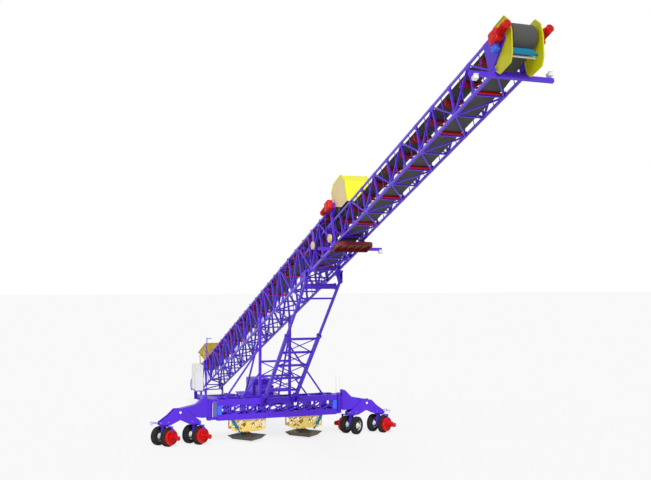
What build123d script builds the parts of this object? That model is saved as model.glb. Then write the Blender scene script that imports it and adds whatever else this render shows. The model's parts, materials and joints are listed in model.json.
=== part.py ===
from build123d import *
import math
import os

os.makedirs("parts", exist_ok=True)

# Frame of the model, in millimetres: the origin is on the ground under the tail's slewing axis,
# +X runs along the boom towards the discharge end, +Y to the left of it, +Z up.

# Boom attitude and overall places
boom_angle = 19.25
axle_x = 14600
luff_pin_z = 860
luff_pin_radius = 45

# Outer boom: box truss, its bottom chord starts at the luffing pin
outer_start = -350
outer_bay = 1480
outer_bays = 18
outer_depth = 1670
outer_half_width = 660
outer_chord = 90
outer_web = 60

# Inner boom: box truss that slides inside the outer one
inner_bay = 1230
inner_bays = 14
inner_nose = 39250
inner_base = 112
inner_depth = 1075
inner_half_width = 535
inner_chord = 66
inner_web = 46

# Belts, pulleys and idlers
belt_width = 750
belt_thick = 16
belt_trough_angle = 30
roll_radius = 54
roll_gap = 14
idler_pitch = 1180
idler_bar = 80
edge_rise = 3
wing_drop = 1.5
seat = 0.3
slide_pad_bays = (17, 15, 12, 8)
roll_sides = 8
drum_sides = 36
drum_radius = 370
shaft_radius = 55

# Axle beam
beam_half_length = 3180
beam_half_depth = 500
beam_bottom = 1150
beam_top = 2170
beam_chord = 290
beam_web = 90
beam_plate = 110
beam_panels = 7

# Swinging arms at the beam's ends
knuckle_y = 3470
knuckle_radius = 150
knuckle_gap = 8
knuckle_pin_radius = 70
end_lug = 100
arm_half_depth = 190
arm_plate = 40
rocker_y = 4975
rocker_z = 1880
rocker_pin_radius = 55
rocker_plate = 36
rocker_half_depth = 255

# Steered wheel sets
wheel_set_reach = 775
tyre_radius = 465
tyre_width = 250
tyre_half_track = 330
rim_radius = 262
wheel_axle_radius = 60
tyre_sides = 32
tyre_edge = 45
drive_sides = 20
steer_angle = 34
steer_deck_z = 1010
steer_deck_radius = 210
steer_leg_half = 80
drive_radius = 235
drive_length = 170
motor_radius = 105
motor_length = 430

# Lift legs and guide tower
leg_foot_x = 950
leg_foot_z = 2330
leg_top_s = 22880
leg_top_drop = 330
leg_y = 800
leg_tube = 150
leg_wall = 12
leg_inner_tube = 104
leg_split = 0.56
leg_overlap = 1500
leg_pin_radius = 40
leg_eye_clear = 100
leg_eye_ring = 38
leg_neck = 160
leg_tube_stop = 220
tower_y = 800
tower_post = 130
tower_x = -150
tower_height = 6250
side_brace_y = 2600
low_brace_y = 1750

# Drawbar frame between axle beam and tail
rail_y = 960
rail_high = 220
rail_wide = 120
rail_tail_z = 430
rail_beam_z = 1700
deck_x = axle_x - 2900
deck_half = 1500
deck_z = 1930
deck_thick = 50
shelf_z = 1080

# Cable reel and cabinets at the tail
reel_x = -150
reel_y = -1250
reel_z = 1180
reel_r = 400
reel_half = 96

# Tail slewing base
base_radius = 900
base_plate = 60
spigot_radius = 90
head_top = 330
lug_thick = 45
turntable_radius = 560
turntable_high = 150

# Feet under the axle beam
foot_y = 1520
foot_pad_x = 1550
foot_pad_y = 1250
foot_pad_z = 95
foot_pad_thick = 190
foot_pad_flare = 45
foot_post_wide = 130
foot_post_top = 900

sin_a = math.sin(math.radians(boom_angle))
cos_a = math.cos(math.radians(boom_angle))
outer_end = outer_start + outer_bay * outer_bays
inner_start = inner_nose - inner_bay * inner_bays
inner_top = inner_base + inner_depth
inner_side_y = inner_half_width - inner_chord / 2


def boom_side(y):
    """Upright plane along the boom: local x runs up the boom, local y square to it."""
    return Plane(origin=(0, y, luff_pin_z), x_dir=(cos_a, 0, sin_a), z_dir=(0, -1, 0))


def boom_place(s, n, tilt=0):
    """Plane square to a line that rises by tilt from the boom, s along it and n above the chord."""
    origin = (s * cos_a - n * sin_a, 0, luff_pin_z + s * sin_a + n * cos_a)
    slope = math.radians(boom_angle) + tilt
    return Plane(origin=origin, x_dir=(0, 1, 0), z_dir=(math.cos(slope), 0, math.sin(slope)))


def boom_point(s, n, y=0):
    """A point of the boom's own frame, given in the part's frame."""
    return (s * cos_a - n * sin_a, y, luff_pin_z + s * sin_a + n * cos_a)


def bar(start, end, wide, deep):
    """A straight bar of rectangular section from start to end; wide is measured level."""
    run = Vector(*end) - Vector(*start)
    level = Vector(0, 0, 1).cross(run)
    if level.length < 1:
        level = Vector(0, 1, 0)
    with BuildPart() as piece:
        with BuildSketch(Plane(origin=start, x_dir=level.normalized(), z_dir=run.normalized())):
            Rectangle(wide, deep)
        extrude(amount=run.length)
    return piece.part


def rod(start, end, radius, sides=0):
    """A round bar from start to end, or one of as many flat sides as are asked for."""
    run = Vector(*end) - Vector(*start)
    level = Vector(0, 0, 1).cross(run)
    if level.length < 1:
        level = Vector(0, 1, 0)
    with BuildPart() as piece:
        with BuildSketch(Plane(origin=start, x_dir=level.normalized(), z_dir=run.normalized())):
            disc(radius, sides)
        extrude(amount=run.length)
    return piece.part


def disc(radius, sides):
    """Circle in the open sketch, or a polygon with a corner on its first axis."""
    if sides:
        RegularPolygon(radius, side_count=sides)
    else:
        Circle(radius)


def brace_windows(left, right, low, high, width, rising):
    """Two triangular windows that leave one diagonal brace between them."""
    slope = math.atan2(high - low, right - left)
    up = width / 2 / math.cos(slope)
    along = width / 2 / math.sin(slope)
    if rising:
        first = [(left, low + up), (left, high), (right - along, high)]
        second = [(left + along, low), (right, low), (right, high - up)]
    else:
        first = [(left, low), (right - along, low), (left, high - up)]
        second = [(left + along, high), (right, low + up), (right, high)]
    return first, second


def cross_windows(left, right, low, high, width):
    """Four triangular windows that leave an X brace between them."""
    mid_x = (left + right) / 2
    mid_z = (low + high) / 2
    slope = math.atan2(high - low, right - left)
    up = width / 2 / math.cos(slope)
    along = width / 2 / math.sin(slope)
    return (
        [(left, low + up), (mid_x - along, mid_z), (left, high - up)],
        [(right, low + up), (right, high - up), (mid_x + along, mid_z)],
        [(left + along, low), (right - along, low), (mid_x, mid_z - up)],
        [(left + along, high), (mid_x, mid_z + up), (right - along, high)],
    )


def truss_side(y, start, bay, bays, base, depth, chord, web, thick):
    """One side of a box truss: two chords, posts and diagonals that alternate."""
    with BuildPart() as side:
        with BuildSketch(boom_side(y)):
            with Locations(((start + bay * bays / 2), base + depth / 2)):
                Rectangle(bay * bays + web, depth)
            for number in range(bays):
                left = start + bay * number + web / 2
                right = left + bay - web
                for corners in brace_windows(
                    left, right, base + chord, base + depth - chord, web, number % 2 == 0
                ):
                    Polygon(*corners, align=None, mode=Mode.SUBTRACT)
        extrude(amount=thick / 2, both=True)
    return side.part


def troughed_idler(half_span, bar_low):
    """Three-roll troughed idler with its cross bar; local z is up, local x across the belt."""
    wing = math.radians(belt_trough_angle)
    centre_half = belt_width * 0.17
    roll_z = bar_low + idler_bar + roll_radius + roll_gap
    wing_run = belt_width * 0.31
    with BuildPart() as idler:
        with BuildSketch(Plane.YZ):
            with Locations((0, bar_low + idler_bar / 2)):
                Rectangle(idler_bar, idler_bar)
        extrude(amount=half_span, both=True)
        with BuildSketch(Plane.YZ):
            with Locations((0, roll_z)):
                RegularPolygon(roll_radius, side_count=roll_sides)
        extrude(amount=centre_half, both=True)
        for side in (-1, 1):
            inner_end = (side * (centre_half + roll_gap), 0, roll_z - wing_drop)
            outer_end_x = centre_half + roll_gap + wing_run * math.cos(wing)
            outer_end_z = roll_z - wing_drop + wing_run * math.sin(wing)
            add(rod(inner_end, (side * outer_end_x, 0, outer_end_z), roll_radius, roll_sides))
            foot_x = side * (outer_end_x + roll_gap)
            add(bar((foot_x, 0, bar_low + idler_bar / 2), (foot_x, 0, outer_end_z), roll_gap * 2, 60))
        with BuildSketch(Plane.YZ):
            with Locations((0, roll_z - roll_radius / 2)):
                Rectangle(idler_bar / 2, roll_radius * 2)
        extrude(amount=centre_half + roll_gap * 1.5, both=True)
    return idler.part


def boom_deck(s, n):
    """Plane square to the boom's height at s: local x across the boom, local z away from it."""
    return Plane(origin=boom_point(s, n), x_dir=(0, 1, 0), z_dir=(-sin_a, 0, cos_a))


def boom_floor(n):
    """Plane along the boom: local x runs up the boom, local y across it."""
    return Plane(origin=boom_point(0, n), x_dir=(cos_a, 0, sin_a), z_dir=(-sin_a, 0, cos_a))


def boom_locations(first, last, pitch, n):
    """Evenly spaced places along the boom, square to it."""
    count = int((last - first) // pitch) + 1
    return [boom_deck(first + pitch * k, n).location for k in range(count)]


def truss_floor(start, bay, bays, n, half_width, web, thick):
    """Cross bars and alternating diagonals in one plane between the sides of a box truss."""
    with BuildPart() as lattice:
        with BuildSketch(boom_floor(n)):
            with Locations((start + bay * bays / 2, 0)):
                Rectangle(bay * bays + web, 2 * half_width)
            for number in range(bays):
                left = start + bay * number + web / 2
                right = left + bay - web
                for corners in brace_windows(
                    left, right, -half_width, half_width, web, number % 2 == 0
                ):
                    Polygon(*corners, align=None, mode=Mode.SUBTRACT)
        extrude(amount=thick)
    return lattice.part


def trough_section(s, n, half_span, rise, tilt=0):
    """Belt section at one place: flat centre, wings that rise to each edge."""
    centre_half = belt_width * 0.17
    outline = [(-half_span, rise), (-centre_half, 0), (centre_half, 0), (half_span, rise)]
    lid = [(x, y + belt_thick) for x, y in reversed(outline)]
    with BuildSketch(boom_place(s, n, tilt)) as section:
        Polygon(*outline, *lid, align=None)
    return section.sketch


def touch_angle(place, centre, radius, upper):
    """Slope of the belt that runs from place onto a drum, over it or under it, in radians."""
    run, climb = abs(centre[0] - place[0]), centre[1] - place[1]
    return math.atan2(climb, run) + upper * math.asin(radius / math.hypot(run, climb))


def belt_loop(tail, head, low_points, wing_from, wing_to, carry_n):
    """Endless belt: troughed carrying run, wraps round both drums and a flat return run."""
    wing = math.radians(belt_trough_angle)
    wing_half = belt_width * (0.17 + 0.33 * math.cos(wing))
    wing_rise = belt_width * 0.33 * math.sin(wing)
    ends = []
    for (s, n, radius), first, last, way in (
        (tail, (wing_from, carry_n), low_points[0], -1), (head, (wing_to, carry_n), low_points[-1], 1)
    ):
        over = touch_angle(first, (s, n), radius, 1)
        under = touch_angle(last, (s, n), radius, -1)
        top = (s - way * radius * math.sin(over), n + radius * math.cos(over))
        low, skin = [
            (s + way * reach * math.sin(under), n - reach * math.cos(under)) for reach in (radius, radius + belt_thick)
        ]
        ends.append((s, n, radius, way, over, under, top, low, skin))
    stations = (
        (*ends[0][6], belt_width / 2, edge_rise, -ends[0][4]),
        (wing_from, carry_n, wing_half, wing_rise),
        (wing_to, carry_n, wing_half, wing_rise),
        (*ends[1][6], belt_width / 2, edge_rise, ends[1][4]),
    )
    with BuildPart() as belt:
        for near, far in zip(stations, stations[1:]):
            add(loft([trough_section(*near), trough_section(*far)], ruled=True))
        for s, n, radius, way, over, under, top, low, skin in ends:
            first, last = math.pi / 2 + over, math.pi * 1.5 + under
            fan = [first + (last - first) * k / 4 for k in range(5)]
            rim = [(s + way * 3 * radius * math.cos(a), n + 3 * radius * math.sin(a)) for a in fan]
            with BuildSketch(boom_side(0)):
                with Locations((s, n)):
                    Circle(radius + belt_thick)
                    Circle(radius, mode=Mode.SUBTRACT)
                Polygon((s, n), *rim, align=None, mode=Mode.SUBTRACT)
            extrude(amount=belt_width / 2, both=True)
        upper = [ends[0][7], *low_points, ends[1][7]]
        lower = [ends[0][8], *[(s, n - belt_thick) for s, n in low_points], ends[1][8]]
        with BuildSketch(boom_side(0)):
            Polygon(*upper, *reversed(lower), align=None)
        extrude(amount=belt_width / 2, both=True)
    return belt.part


def pulley(s, n, radius, half_face, half_shaft):
    """Drum with rounded ends on its shaft, square across the boom."""
    with BuildPart() as drum:
        with BuildSketch(boom_side(0)):
            with Locations((s, n)):
                RegularPolygon(radius, side_count=drum_sides)
        extrude(amount=half_face, both=True)
        with BuildSketch(boom_side(0)):
            with Locations((s, n)):
                Circle(shaft_radius)
        extrude(amount=half_shaft, both=True)
    return drum.part


def boom_plate(y, thick, outline, holes=()):
    """Plate that stands along the boom at y; outline and holes are in the boom's own frame."""
    with BuildPart() as plate:
        with BuildSketch(boom_side(y)):
            Polygon(*outline, align=None)
            for s, n, radius in holes:
                with Locations((s, n)):
                    Circle(radius, mode=Mode.SUBTRACT)
        extrude(amount=thick / 2, both=True)
    return plate.part


def boom_block(s_low, s_high, n_low, n_high, y_low, y_high):
    """Block along the boom between two places in the boom's own frame."""
    with BuildPart() as block:
        with BuildSketch(boom_side((y_low + y_high) / 2)):
            with Locations(((s_low + s_high) / 2, (n_low + n_high) / 2)):
                Rectangle(s_high - s_low, n_high - n_low)
        extrude(amount=(y_high - y_low) / 2, both=True)
    return block.part


def box_between(low, high):
    """Upright box between its lowest and highest corner."""
    size = [b - a for a, b in zip(low, high)]
    centre = [(a + b) / 2 for a, b in zip(low, high)]
    with BuildPart() as block:
        with Locations(tuple(centre)):
            Box(*size)
    return block.part


def cross_plate(x, thick, outline, holes=()):
    """Plate that stands across the machine at x; outline points are (y, z)."""
    with BuildPart() as plate:
        with BuildSketch(Plane(origin=(x, 0, 0), x_dir=(0, 1, 0), z_dir=(1, 0, 0))):
            Polygon(*outline, align=None)
            for y, z, radius in holes:
                with Locations((y, z)):
                    Circle(radius, mode=Mode.SUBTRACT)
        extrude(amount=thick / 2, both=True)
    return plate.part


def write(builder, name):
    """Label one finished piece and write its STEP file."""
    builder.part.label = name
    export_step(builder.part, "parts/" + name + ".step")



# Outer boom
outer_carry_n = outer_depth + idler_bar + roll_gap + 2 * roll_radius
outer_pulley_r = 236
outer_pulley_n = outer_carry_n - outer_pulley_r
outer_tail_s = outer_start - 150
outer_head_s = outer_end + 260
side_y = outer_half_width - outer_chord / 2
outer_bar_s = outer_end - 190

for name, y in (("outer_side_right", -side_y), ("outer_side_left", side_y)):
    with BuildPart() as outer_side:
        add(truss_side(y, outer_start, outer_bay, outer_bays, 0, outer_depth, outer_chord,
                       outer_web, outer_chord))
        for s, end in ((outer_tail_s, outer_start - 30), (outer_head_s, outer_end + 30)):
            reach = math.copysign(1, s - end)
            outline = [(end, outer_depth - 420), (end, outer_depth), (s + reach * 160, outer_depth + 60),
                       (s + reach * 160, outer_pulley_n - 130)]
            add(boom_plate(y, outer_chord, outline, [(s, outer_pulley_n, shaft_radius + seat)]))
    write(outer_side, name)

with BuildPart() as outer_lattice:
    add(truss_floor(outer_start, outer_bay, outer_bays, 0, outer_half_width - outer_chord,
                    outer_web, outer_web))
    for number in slide_pad_bays:
        s = outer_start + outer_bay * number
        for y in (-inner_side_y, inner_side_y):
            add(boom_block(s - 90, s + 90, 0, inner_base - seat, y - inner_chord / 2, y + inner_chord / 2))
    add(boom_block(outer_bar_s - 50, outer_bar_s + 50, -110, 0, -1300, 1500))
write(outer_lattice, "outer_floor_lattice")

with BuildPart() as outer_bars:
    for number in range(1, outer_bays, 2):
        s = outer_start + outer_bay * number
        add(boom_block(s - 30, s + 30, outer_depth - 80, outer_depth,
                       -outer_half_width + outer_chord, outer_half_width - outer_chord))
write(outer_bars, "outer_top_bars")

with BuildPart() as idler_set:
    add(troughed_idler(outer_half_width, 0))
with BuildPart() as outer_idlers:
    with Locations(*boom_locations(outer_start + 500, outer_end - 300, idler_pitch, outer_depth)):
        add(idler_set.part)
write(outer_idlers, "outer_carrying_idlers")

outer_return_n = outer_pulley_n - outer_pulley_r - belt_thick
with BuildPart() as outer_returns:
    for number in range(1, outer_bays, 2):
        s = outer_start + outer_bay * number
        add(rod(boom_point(s, outer_return_n - roll_radius, -570),
                boom_point(s, outer_return_n - roll_radius, 570), roll_radius, roll_sides))
write(outer_returns, "outer_return_rollers")

with BuildPart() as outer_belt:
    low_n = outer_pulley_n - outer_pulley_r
    add(belt_loop((outer_tail_s, outer_pulley_n, outer_pulley_r), (outer_head_s, outer_pulley_n, outer_pulley_r),
                  ((outer_start + 900, low_n), (outer_end - 900, low_n)),
                  outer_start + 500, outer_end - 300, outer_carry_n))
write(outer_belt, "outer_belt")

with BuildPart() as outer_pulleys:
    for s in (outer_tail_s, outer_head_s):
        add(pulley(s, outer_pulley_n, outer_pulley_r, belt_width / 2 + 20, outer_half_width + 60))
write(outer_pulleys, "outer_pulleys")

# Inner boom
inner_bar_low = 820
inner_carry_n = inner_bar_low + idler_bar + roll_gap + 2 * roll_radius
inner_return_n = 284
inner_tail_r = (inner_carry_n - inner_return_n) / 2
inner_tail_s = inner_start + 460
inner_tail_n = inner_return_n + inner_tail_r
head_drum_s = inner_nose + 650
head_drum_n = 880
shield_y = 486
shield_thick = 12
nose_arm_thick = 60
nose_arm_y = shield_y + shield_thick / 2 + nose_arm_thick / 2

for name, y in (("inner_side_right", -inner_side_y), ("inner_side_left", inner_side_y)):
    with BuildPart() as inner_side:
        add(truss_side(y, inner_start, inner_bay, inner_bays, inner_base, inner_depth, inner_chord,
                       inner_web, inner_chord))
        middle = math.copysign(nose_arm_y, y)
        outline = [(inner_nose - 250, inner_base), (inner_nose - 250, inner_top),
                   (head_drum_s + 130, head_drum_n + 150), (head_drum_s + 130, head_drum_n - 150)]
        add(boom_plate(middle, nose_arm_thick, outline, [(head_drum_s, head_drum_n, shaft_radius + seat)]))
    write(inner_side, name)

inner_clear = inner_half_width - inner_chord
head_bar_s, head_bar_n = inner_nose - 40, inner_base - 62
with BuildPart() as inner_lattice:
    add(truss_floor(inner_start, inner_bay, inner_bays, inner_base, inner_clear, inner_web, inner_web))
    add(boom_block(head_bar_s - 55, head_bar_s + 55, head_bar_n - 62, inner_base, -1340, 1400))
write(inner_lattice, "inner_floor_lattice")

with BuildPart() as inner_idler_set:
    add(troughed_idler(inner_clear, 0))
with BuildPart() as inner_idlers:
    with Locations(*boom_locations(inner_start + 1100, inner_nose - 700, idler_pitch, inner_bar_low)):
        add(inner_idler_set.part)
write(inner_idlers, "inner_carrying_idlers")

with BuildPart() as inner_returns:
    for number in range(1, inner_bays, 2):
        s = inner_start + inner_bay * number
        add(rod(boom_point(s, inner_return_n - belt_thick - roll_radius - seat, -inner_clear),
                boom_point(s, inner_return_n - belt_thick - roll_radius - seat, inner_clear),
                roll_radius, roll_sides))
write(inner_returns, "inner_return_rollers")

with BuildPart() as inner_belt:
    add(belt_loop((inner_tail_s, inner_tail_n, inner_tail_r), (head_drum_s, head_drum_n, drum_radius),
                  ((inner_start + 1200, inner_return_n), (inner_nose - 900, inner_return_n)),
                  inner_start + 1100, inner_nose - 700, inner_carry_n))
write(inner_belt, "inner_belt")

with BuildPart() as inner_pulleys:
    add(pulley(inner_tail_s, inner_tail_n, inner_tail_r - seat, belt_width / 2 + 20, inner_clear))
    add(pulley(head_drum_s, head_drum_n, drum_radius - seat, belt_width / 2 + 20, 690))
write(inner_pulleys, "inner_pulleys")

# Yellow side shields round the head drum
shield_outline = [(-500, -300), (-500, 560), (-430, 640), (90, 660), (330, 500), (480, 190),
                  (480, -210), (330, -480), (70, -690), (-160, -690)]
with BuildPart() as head_shields:
    for y in (-shield_y, shield_y):
        outline = [(head_drum_s + s, head_drum_n + n) for s, n in shield_outline]
        add(boom_plate(y, shield_thick, outline, [(head_drum_s, head_drum_n, shaft_radius + seat)]))
write(head_shields, "head_shields")

# Head drives: a gearbox on each end of the drum's shaft, its motor along the boom
drive_face = nose_arm_y + nose_arm_thick / 2
with BuildPart() as head_drives:
    for y in (-1, 1):
        with BuildSketch(boom_side(y * (drive_face + 125))):
            with Locations((head_drum_s - 60, head_drum_n)):
                RectangleRounded(420, 380, 90)
            with Locations((head_drum_s, head_drum_n)):
                Circle(shaft_radius + seat, mode=Mode.SUBTRACT)
        extrude(amount=125, both=True)
        motor_start = boom_point(head_drum_s + 140, head_drum_n + 60, y * (drive_face + 130))
        motor_end = boom_point(head_drum_s + 560, head_drum_n + 60, y * (drive_face + 130))
        add(rod(motor_start, motor_end, 118, drive_sides))
        add(rod(motor_end, boom_point(head_drum_s + 620, head_drum_n + 60, y * (drive_face + 130)), 90, drive_sides))
write(head_drives, "head_drives")

# Lamps on the cross bar under the nose
with BuildPart() as head_lamps:
    add(boom_block(head_bar_s - 70, head_bar_s + 90, inner_base, inner_base + 230, 1230, 1400))
    add(boom_block(head_bar_s - 80, head_bar_s + 80, head_bar_n - 190, head_bar_n - 62, -1250, -1090))
write(head_lamps, "head_lamps")

# Belt scraper under the head drum
with BuildPart() as scraper:
    s = head_drum_s + 60
    low = head_drum_n - drum_radius - belt_thick
    add(boom_block(s - 25, s + 25, low - 150, low - seat, -belt_width / 2, belt_width / 2))
    add(rod(boom_point(s, low - 150, -shield_y + 6), boom_point(s, low - 150, shield_y - 6), 38))
write(scraper, "belt_scraper")

# Transfer hood over the outer boom's head pulley, open below and behind
hood_s, hood_n, hood_wall = outer_end + 90, 1290, 10
with BuildPart() as hood:
    side_outline = [(hood_s, outer_pulley_n + 60), (hood_s, outer_pulley_n + 620), (hood_s + 380, outer_pulley_n + 900),
                    (hood_s + 1250, outer_pulley_n + 900), (hood_s + 1560, outer_pulley_n + 520),
                    (hood_s + 1560, hood_n), (hood_s + 900, hood_n)]
    for y in (-1, 1):
        add(boom_plate(y * 545, hood_wall, side_outline, [(outer_head_s, outer_pulley_n, shaft_radius + seat)]))
    roof = side_outline[1:6]
    for near, far in zip(roof, roof[1:]):
        run = Vector(far[0] - near[0], 0, far[1] - near[1])
        inward = Vector(run.Z, 0, -run.X).normalized() * hood_wall
        corners = [near, far, (far[0] + inward.X, far[1] + inward.Z), (near[0] + inward.X, near[1] + inward.Z)]
        with BuildSketch(boom_side(0)):
            Polygon(*corners, align=None)
        extrude(amount=545, both=True)
write(hood, "transfer_hood")

# Drive of the outer belt beside its head pulley
with BuildPart() as outer_drive:
    face = -(outer_half_width + seat)
    with BuildSketch(boom_side(face - 130)):
        with Locations((outer_head_s - 40, outer_pulley_n)):
            RectangleRounded(460, 400, 90)
        with Locations((outer_head_s, outer_pulley_n)):
            Circle(shaft_radius + seat, mode=Mode.SUBTRACT)
    extrude(amount=130, both=True)
    axis_n = outer_pulley_n + 90
    add(rod(boom_point(outer_head_s - 180, axis_n, face - 140),
            boom_point(outer_head_s - 800, axis_n, face - 140), 125, drive_sides))
write(outer_drive, "outer_belt_drive")

# Spill tray and lamp at the outer boom's end
tray_drop = 110
with BuildPart() as spill_tray:
    with BuildSketch(boom_floor(-tray_drop)):
        with Locations((outer_end + 300, 0)):
            Rectangle(800, 1500)
        with Locations((outer_end + 700, 750), (outer_end + 700, -750)):
            Rectangle(300, 300, rotation=45, mode=Mode.SUBTRACT)
    extrude(amount=30)
    for y in (-side_y, side_y):
        add(boom_block(outer_end - 100, outer_end - 20, 30 - tray_drop, 0, y - outer_chord / 2, y + outer_chord / 2))
write(spill_tray, "spill_tray")
with BuildPart() as outer_lamp:
    add(boom_block(outer_bar_s - 70, outer_bar_s + 90, -240, -110, 1360, 1500))
write(outer_lamp, "outer_lamp")

# Feed hopper over the tail
hopper_wall = 12
hopper_low, hopper_high = outer_carry_n + 150, outer_carry_n + 800
with BuildPart() as hopper:
    low = [(-330, -260), (1350, -260), (1350, 260), (-330, 260)]
    high = [(-620, -620), (1750, -620), (1750, 620), (-620, 620)]
    for k in range(4):
        foot_near, foot_far = [Vector(*boom_point(s, hopper_low, y)) for s, y in (low[k], low[(k + 1) % 4])]
        rim_near, rim_far = [Vector(*boom_point(s, hopper_high, y)) for s, y in (high[k], high[(k + 1) % 4])]
        run, slope = foot_far - foot_near, rim_near - foot_near
        wall = Plane(origin=foot_near, x_dir=run.normalized(), z_dir=slope.cross(run).normalized())
        corners = [wall.to_local_coords(point) for point in (foot_near, foot_far, rim_far, rim_near)]
        with BuildSketch(wall):
            Polygon(*[(point.X, point.Y) for point in corners], align=None)
        extrude(amount=hopper_wall)
    for s in (-200, 1100):
        for y in (-1, 1):
            add(bar(boom_point(s, outer_depth, y * side_y), boom_point(s, hopper_low + 330, y * side_y), 60, 60))
            add(bar(boom_point(s, hopper_low + 330, y * (side_y + 30)),
                    boom_point(s, hopper_low + 330, y * 430), 60, 60))
write(hopper, "feed_hopper")

# Lugs on the outer boom for the luffing pin and the lift legs
with BuildPart() as boom_lugs:
    for y in (-1, 1):
        middle = y * (outer_half_width + lug_thick / 2)
        add(boom_plate(middle, lug_thick, [(-230, 90), (-110, -110), (110, -110), (230, 90), (230, 260), (-230, 260)],
                       [(0, 0, luff_pin_radius + seat)]))
        for offset in (-62, 62):
            outline = [(leg_top_s - 220, 0), (leg_top_s - 90, -leg_top_drop - 90),
                       (leg_top_s + 90, -leg_top_drop - 90), (leg_top_s + 220, 0),
                       (leg_top_s + 220, 90), (leg_top_s - 220, 90)]
            add(boom_plate(y * (leg_y + 5 + offset), 24, outline, [(leg_top_s, -leg_top_drop, leg_pin_radius)]))
        add(boom_block(leg_top_s - 260, leg_top_s + 260, 0, 90, *sorted((y * outer_half_width, y * (leg_y + 90)))))
        add(rod(boom_point(leg_top_s, -leg_top_drop, y * (leg_y + 5 - 85)),
                boom_point(leg_top_s, -leg_top_drop, y * (leg_y + 5 + 85)), leg_pin_radius))
write(boom_lugs, "boom_lugs")

# Axle beam: two lattice girders joined by bulkheads, with the hinges of arms and lift legs
def girder(x):
    """Side girder of the axle beam: two deep chords, posts and X braces."""
    panel = 2 * beam_half_length / beam_panels
    low, high = beam_bottom + beam_chord, beam_top - beam_chord
    with BuildPart() as side:
        with BuildSketch(Plane(origin=(x, 0, 0), x_dir=(0, 1, 0), z_dir=(1, 0, 0))):
            with Locations((0, (beam_bottom + beam_top) / 2)):
                Rectangle(2 * beam_half_length, beam_top - beam_bottom)
            for number in range(beam_panels):
                left = -beam_half_length + panel * number + beam_web / 2
                right = left + panel - beam_web
                for corners in cross_windows(left, right, low, high, beam_web * 0.7):
                    Polygon(*corners, align=None, mode=Mode.SUBTRACT)
        extrude(amount=beam_plate / 2, both=True)
    return side.part


beam_inner = beam_half_depth - beam_plate
rail_end = axle_x - beam_half_depth
foot_fork = leg_tube / 2 + 12
with BuildPart() as axle_beam:
    for x in (-1, 1):
        add(girder(axle_x + x * (beam_half_depth - beam_plate / 2)))
    for y in (beam_half_length - 60, side_brace_y, low_brace_y, tower_y):
        for side in (-y, y):
            add(box_between((axle_x - beam_inner, side - 60, beam_bottom), (axle_x + beam_inner, side + 60, beam_top)))
    for y in (-rail_y, rail_y):
        add(box_between((rail_end, y - rail_wide / 2, beam_bottom), (rail_end + beam_plate, y + rail_wide / 2, beam_top)))
    for y in (-1, 1):
        for z in (beam_bottom, beam_top - end_lug):
            with BuildSketch(Plane.XY.offset(z)):
                with Locations((axle_x, y * (beam_half_length + knuckle_y) / 2)):
                    Rectangle(2 * knuckle_radius, knuckle_y - beam_half_length)
                with Locations((axle_x, y * knuckle_y)):
                    Circle(knuckle_radius)
            extrude(amount=end_lug)
        with BuildSketch(Plane.XY.offset(beam_bottom - 30)):
            with Locations((axle_x, y * knuckle_y)):
                Circle(knuckle_pin_radius)
        extrude(amount=beam_top - beam_bottom + 60)
        for offset in (-1, 1):
            middle = y * leg_y + offset * (foot_fork + 15)
            with BuildSketch(Plane(origin=(0, middle, 0), x_dir=(1, 0, 0), z_dir=(0, -1, 0))):
                Polygon((axle_x + beam_half_depth, beam_top - 330), (axle_x + beam_half_depth, beam_top),
                        (axle_x + leg_foot_x - 110, leg_foot_z + 110), (axle_x + leg_foot_x + 110, leg_foot_z + 70),
                        (axle_x + leg_foot_x + 110, leg_foot_z - 80), align=None)
            extrude(amount=15, both=True)
        add(rod((axle_x + leg_foot_x, y * leg_y - foot_fork - 40, leg_foot_z),
                (axle_x + leg_foot_x, y * leg_y + foot_fork + 40, leg_foot_z), leg_pin_radius))
write(axle_beam, "axle_beam")

# Guide tower on the axle beam
tower_line = axle_x + tower_x
with BuildPart() as tower:
    for y in (-1, 1):
        add(box_between((tower_line - tower_post / 2, y * tower_y - tower_post / 2, beam_top),
                        (tower_line + tower_post / 2, y * tower_y + tower_post / 2, tower_height)))
        add(bar((tower_line, y * tower_y, 4700), (tower_line, y * (side_brace_y + 40), beam_top - 60), 80, 80))
        add(bar((tower_line, y * tower_y, 3400), (tower_line, y * (low_brace_y + 40), beam_top - 60), 70, 70))
        add(box_between((tower_line - 200, y * side_brace_y - 130, beam_top),
                        (tower_line + 200, y * side_brace_y + 130, beam_top + 40)))
    for z in (2500, 3200, 3950):
        add(box_between((tower_line - 45, -tower_y, z - 50), (tower_line + 45, tower_y, z + 50)))
    for low, high in ((2500, 3200), (3200, 3950)):
        for y in (-1, 1):
            add(bar((tower_line, y * tower_y, low), (tower_line, -y * tower_y, high), 50, 50))
    split(bisect_by=Plane.XY.offset(beam_top), keep=Keep.TOP)
with BuildPart() as rear_braces:
    for y in (-1, 1):
        add(bar((tower_line, y * tower_y, 5400), (deck_x + 300, y * rail_y, deck_z - 60), 70, 90))
    split(bisect_by=Plane.XY.offset(deck_z), keep=Keep.TOP)
with BuildPart() as braced_tower:
    add(tower.part)
    add(rear_braces.part)
write(braced_tower, "guide_tower")

# Drawbar frame from the axle beam back to the tail
def rail_z(x):
    """Height of the rail's centre line at x."""
    return rail_tail_z + (rail_beam_z - rail_tail_z) * x / (axle_x - beam_half_depth)


disc_low = base_plate + seat
head_low = disc_low + turntable_high
cheek_y = outer_half_width + lug_thick + 6
with BuildPart() as turntable:
    with BuildSketch(Plane.XY.offset(disc_low)):
        Circle(turntable_radius)
        Circle(spigot_radius + seat, mode=Mode.SUBTRACT)
    extrude(amount=turntable_high)
write(turntable, "turntable")

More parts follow.
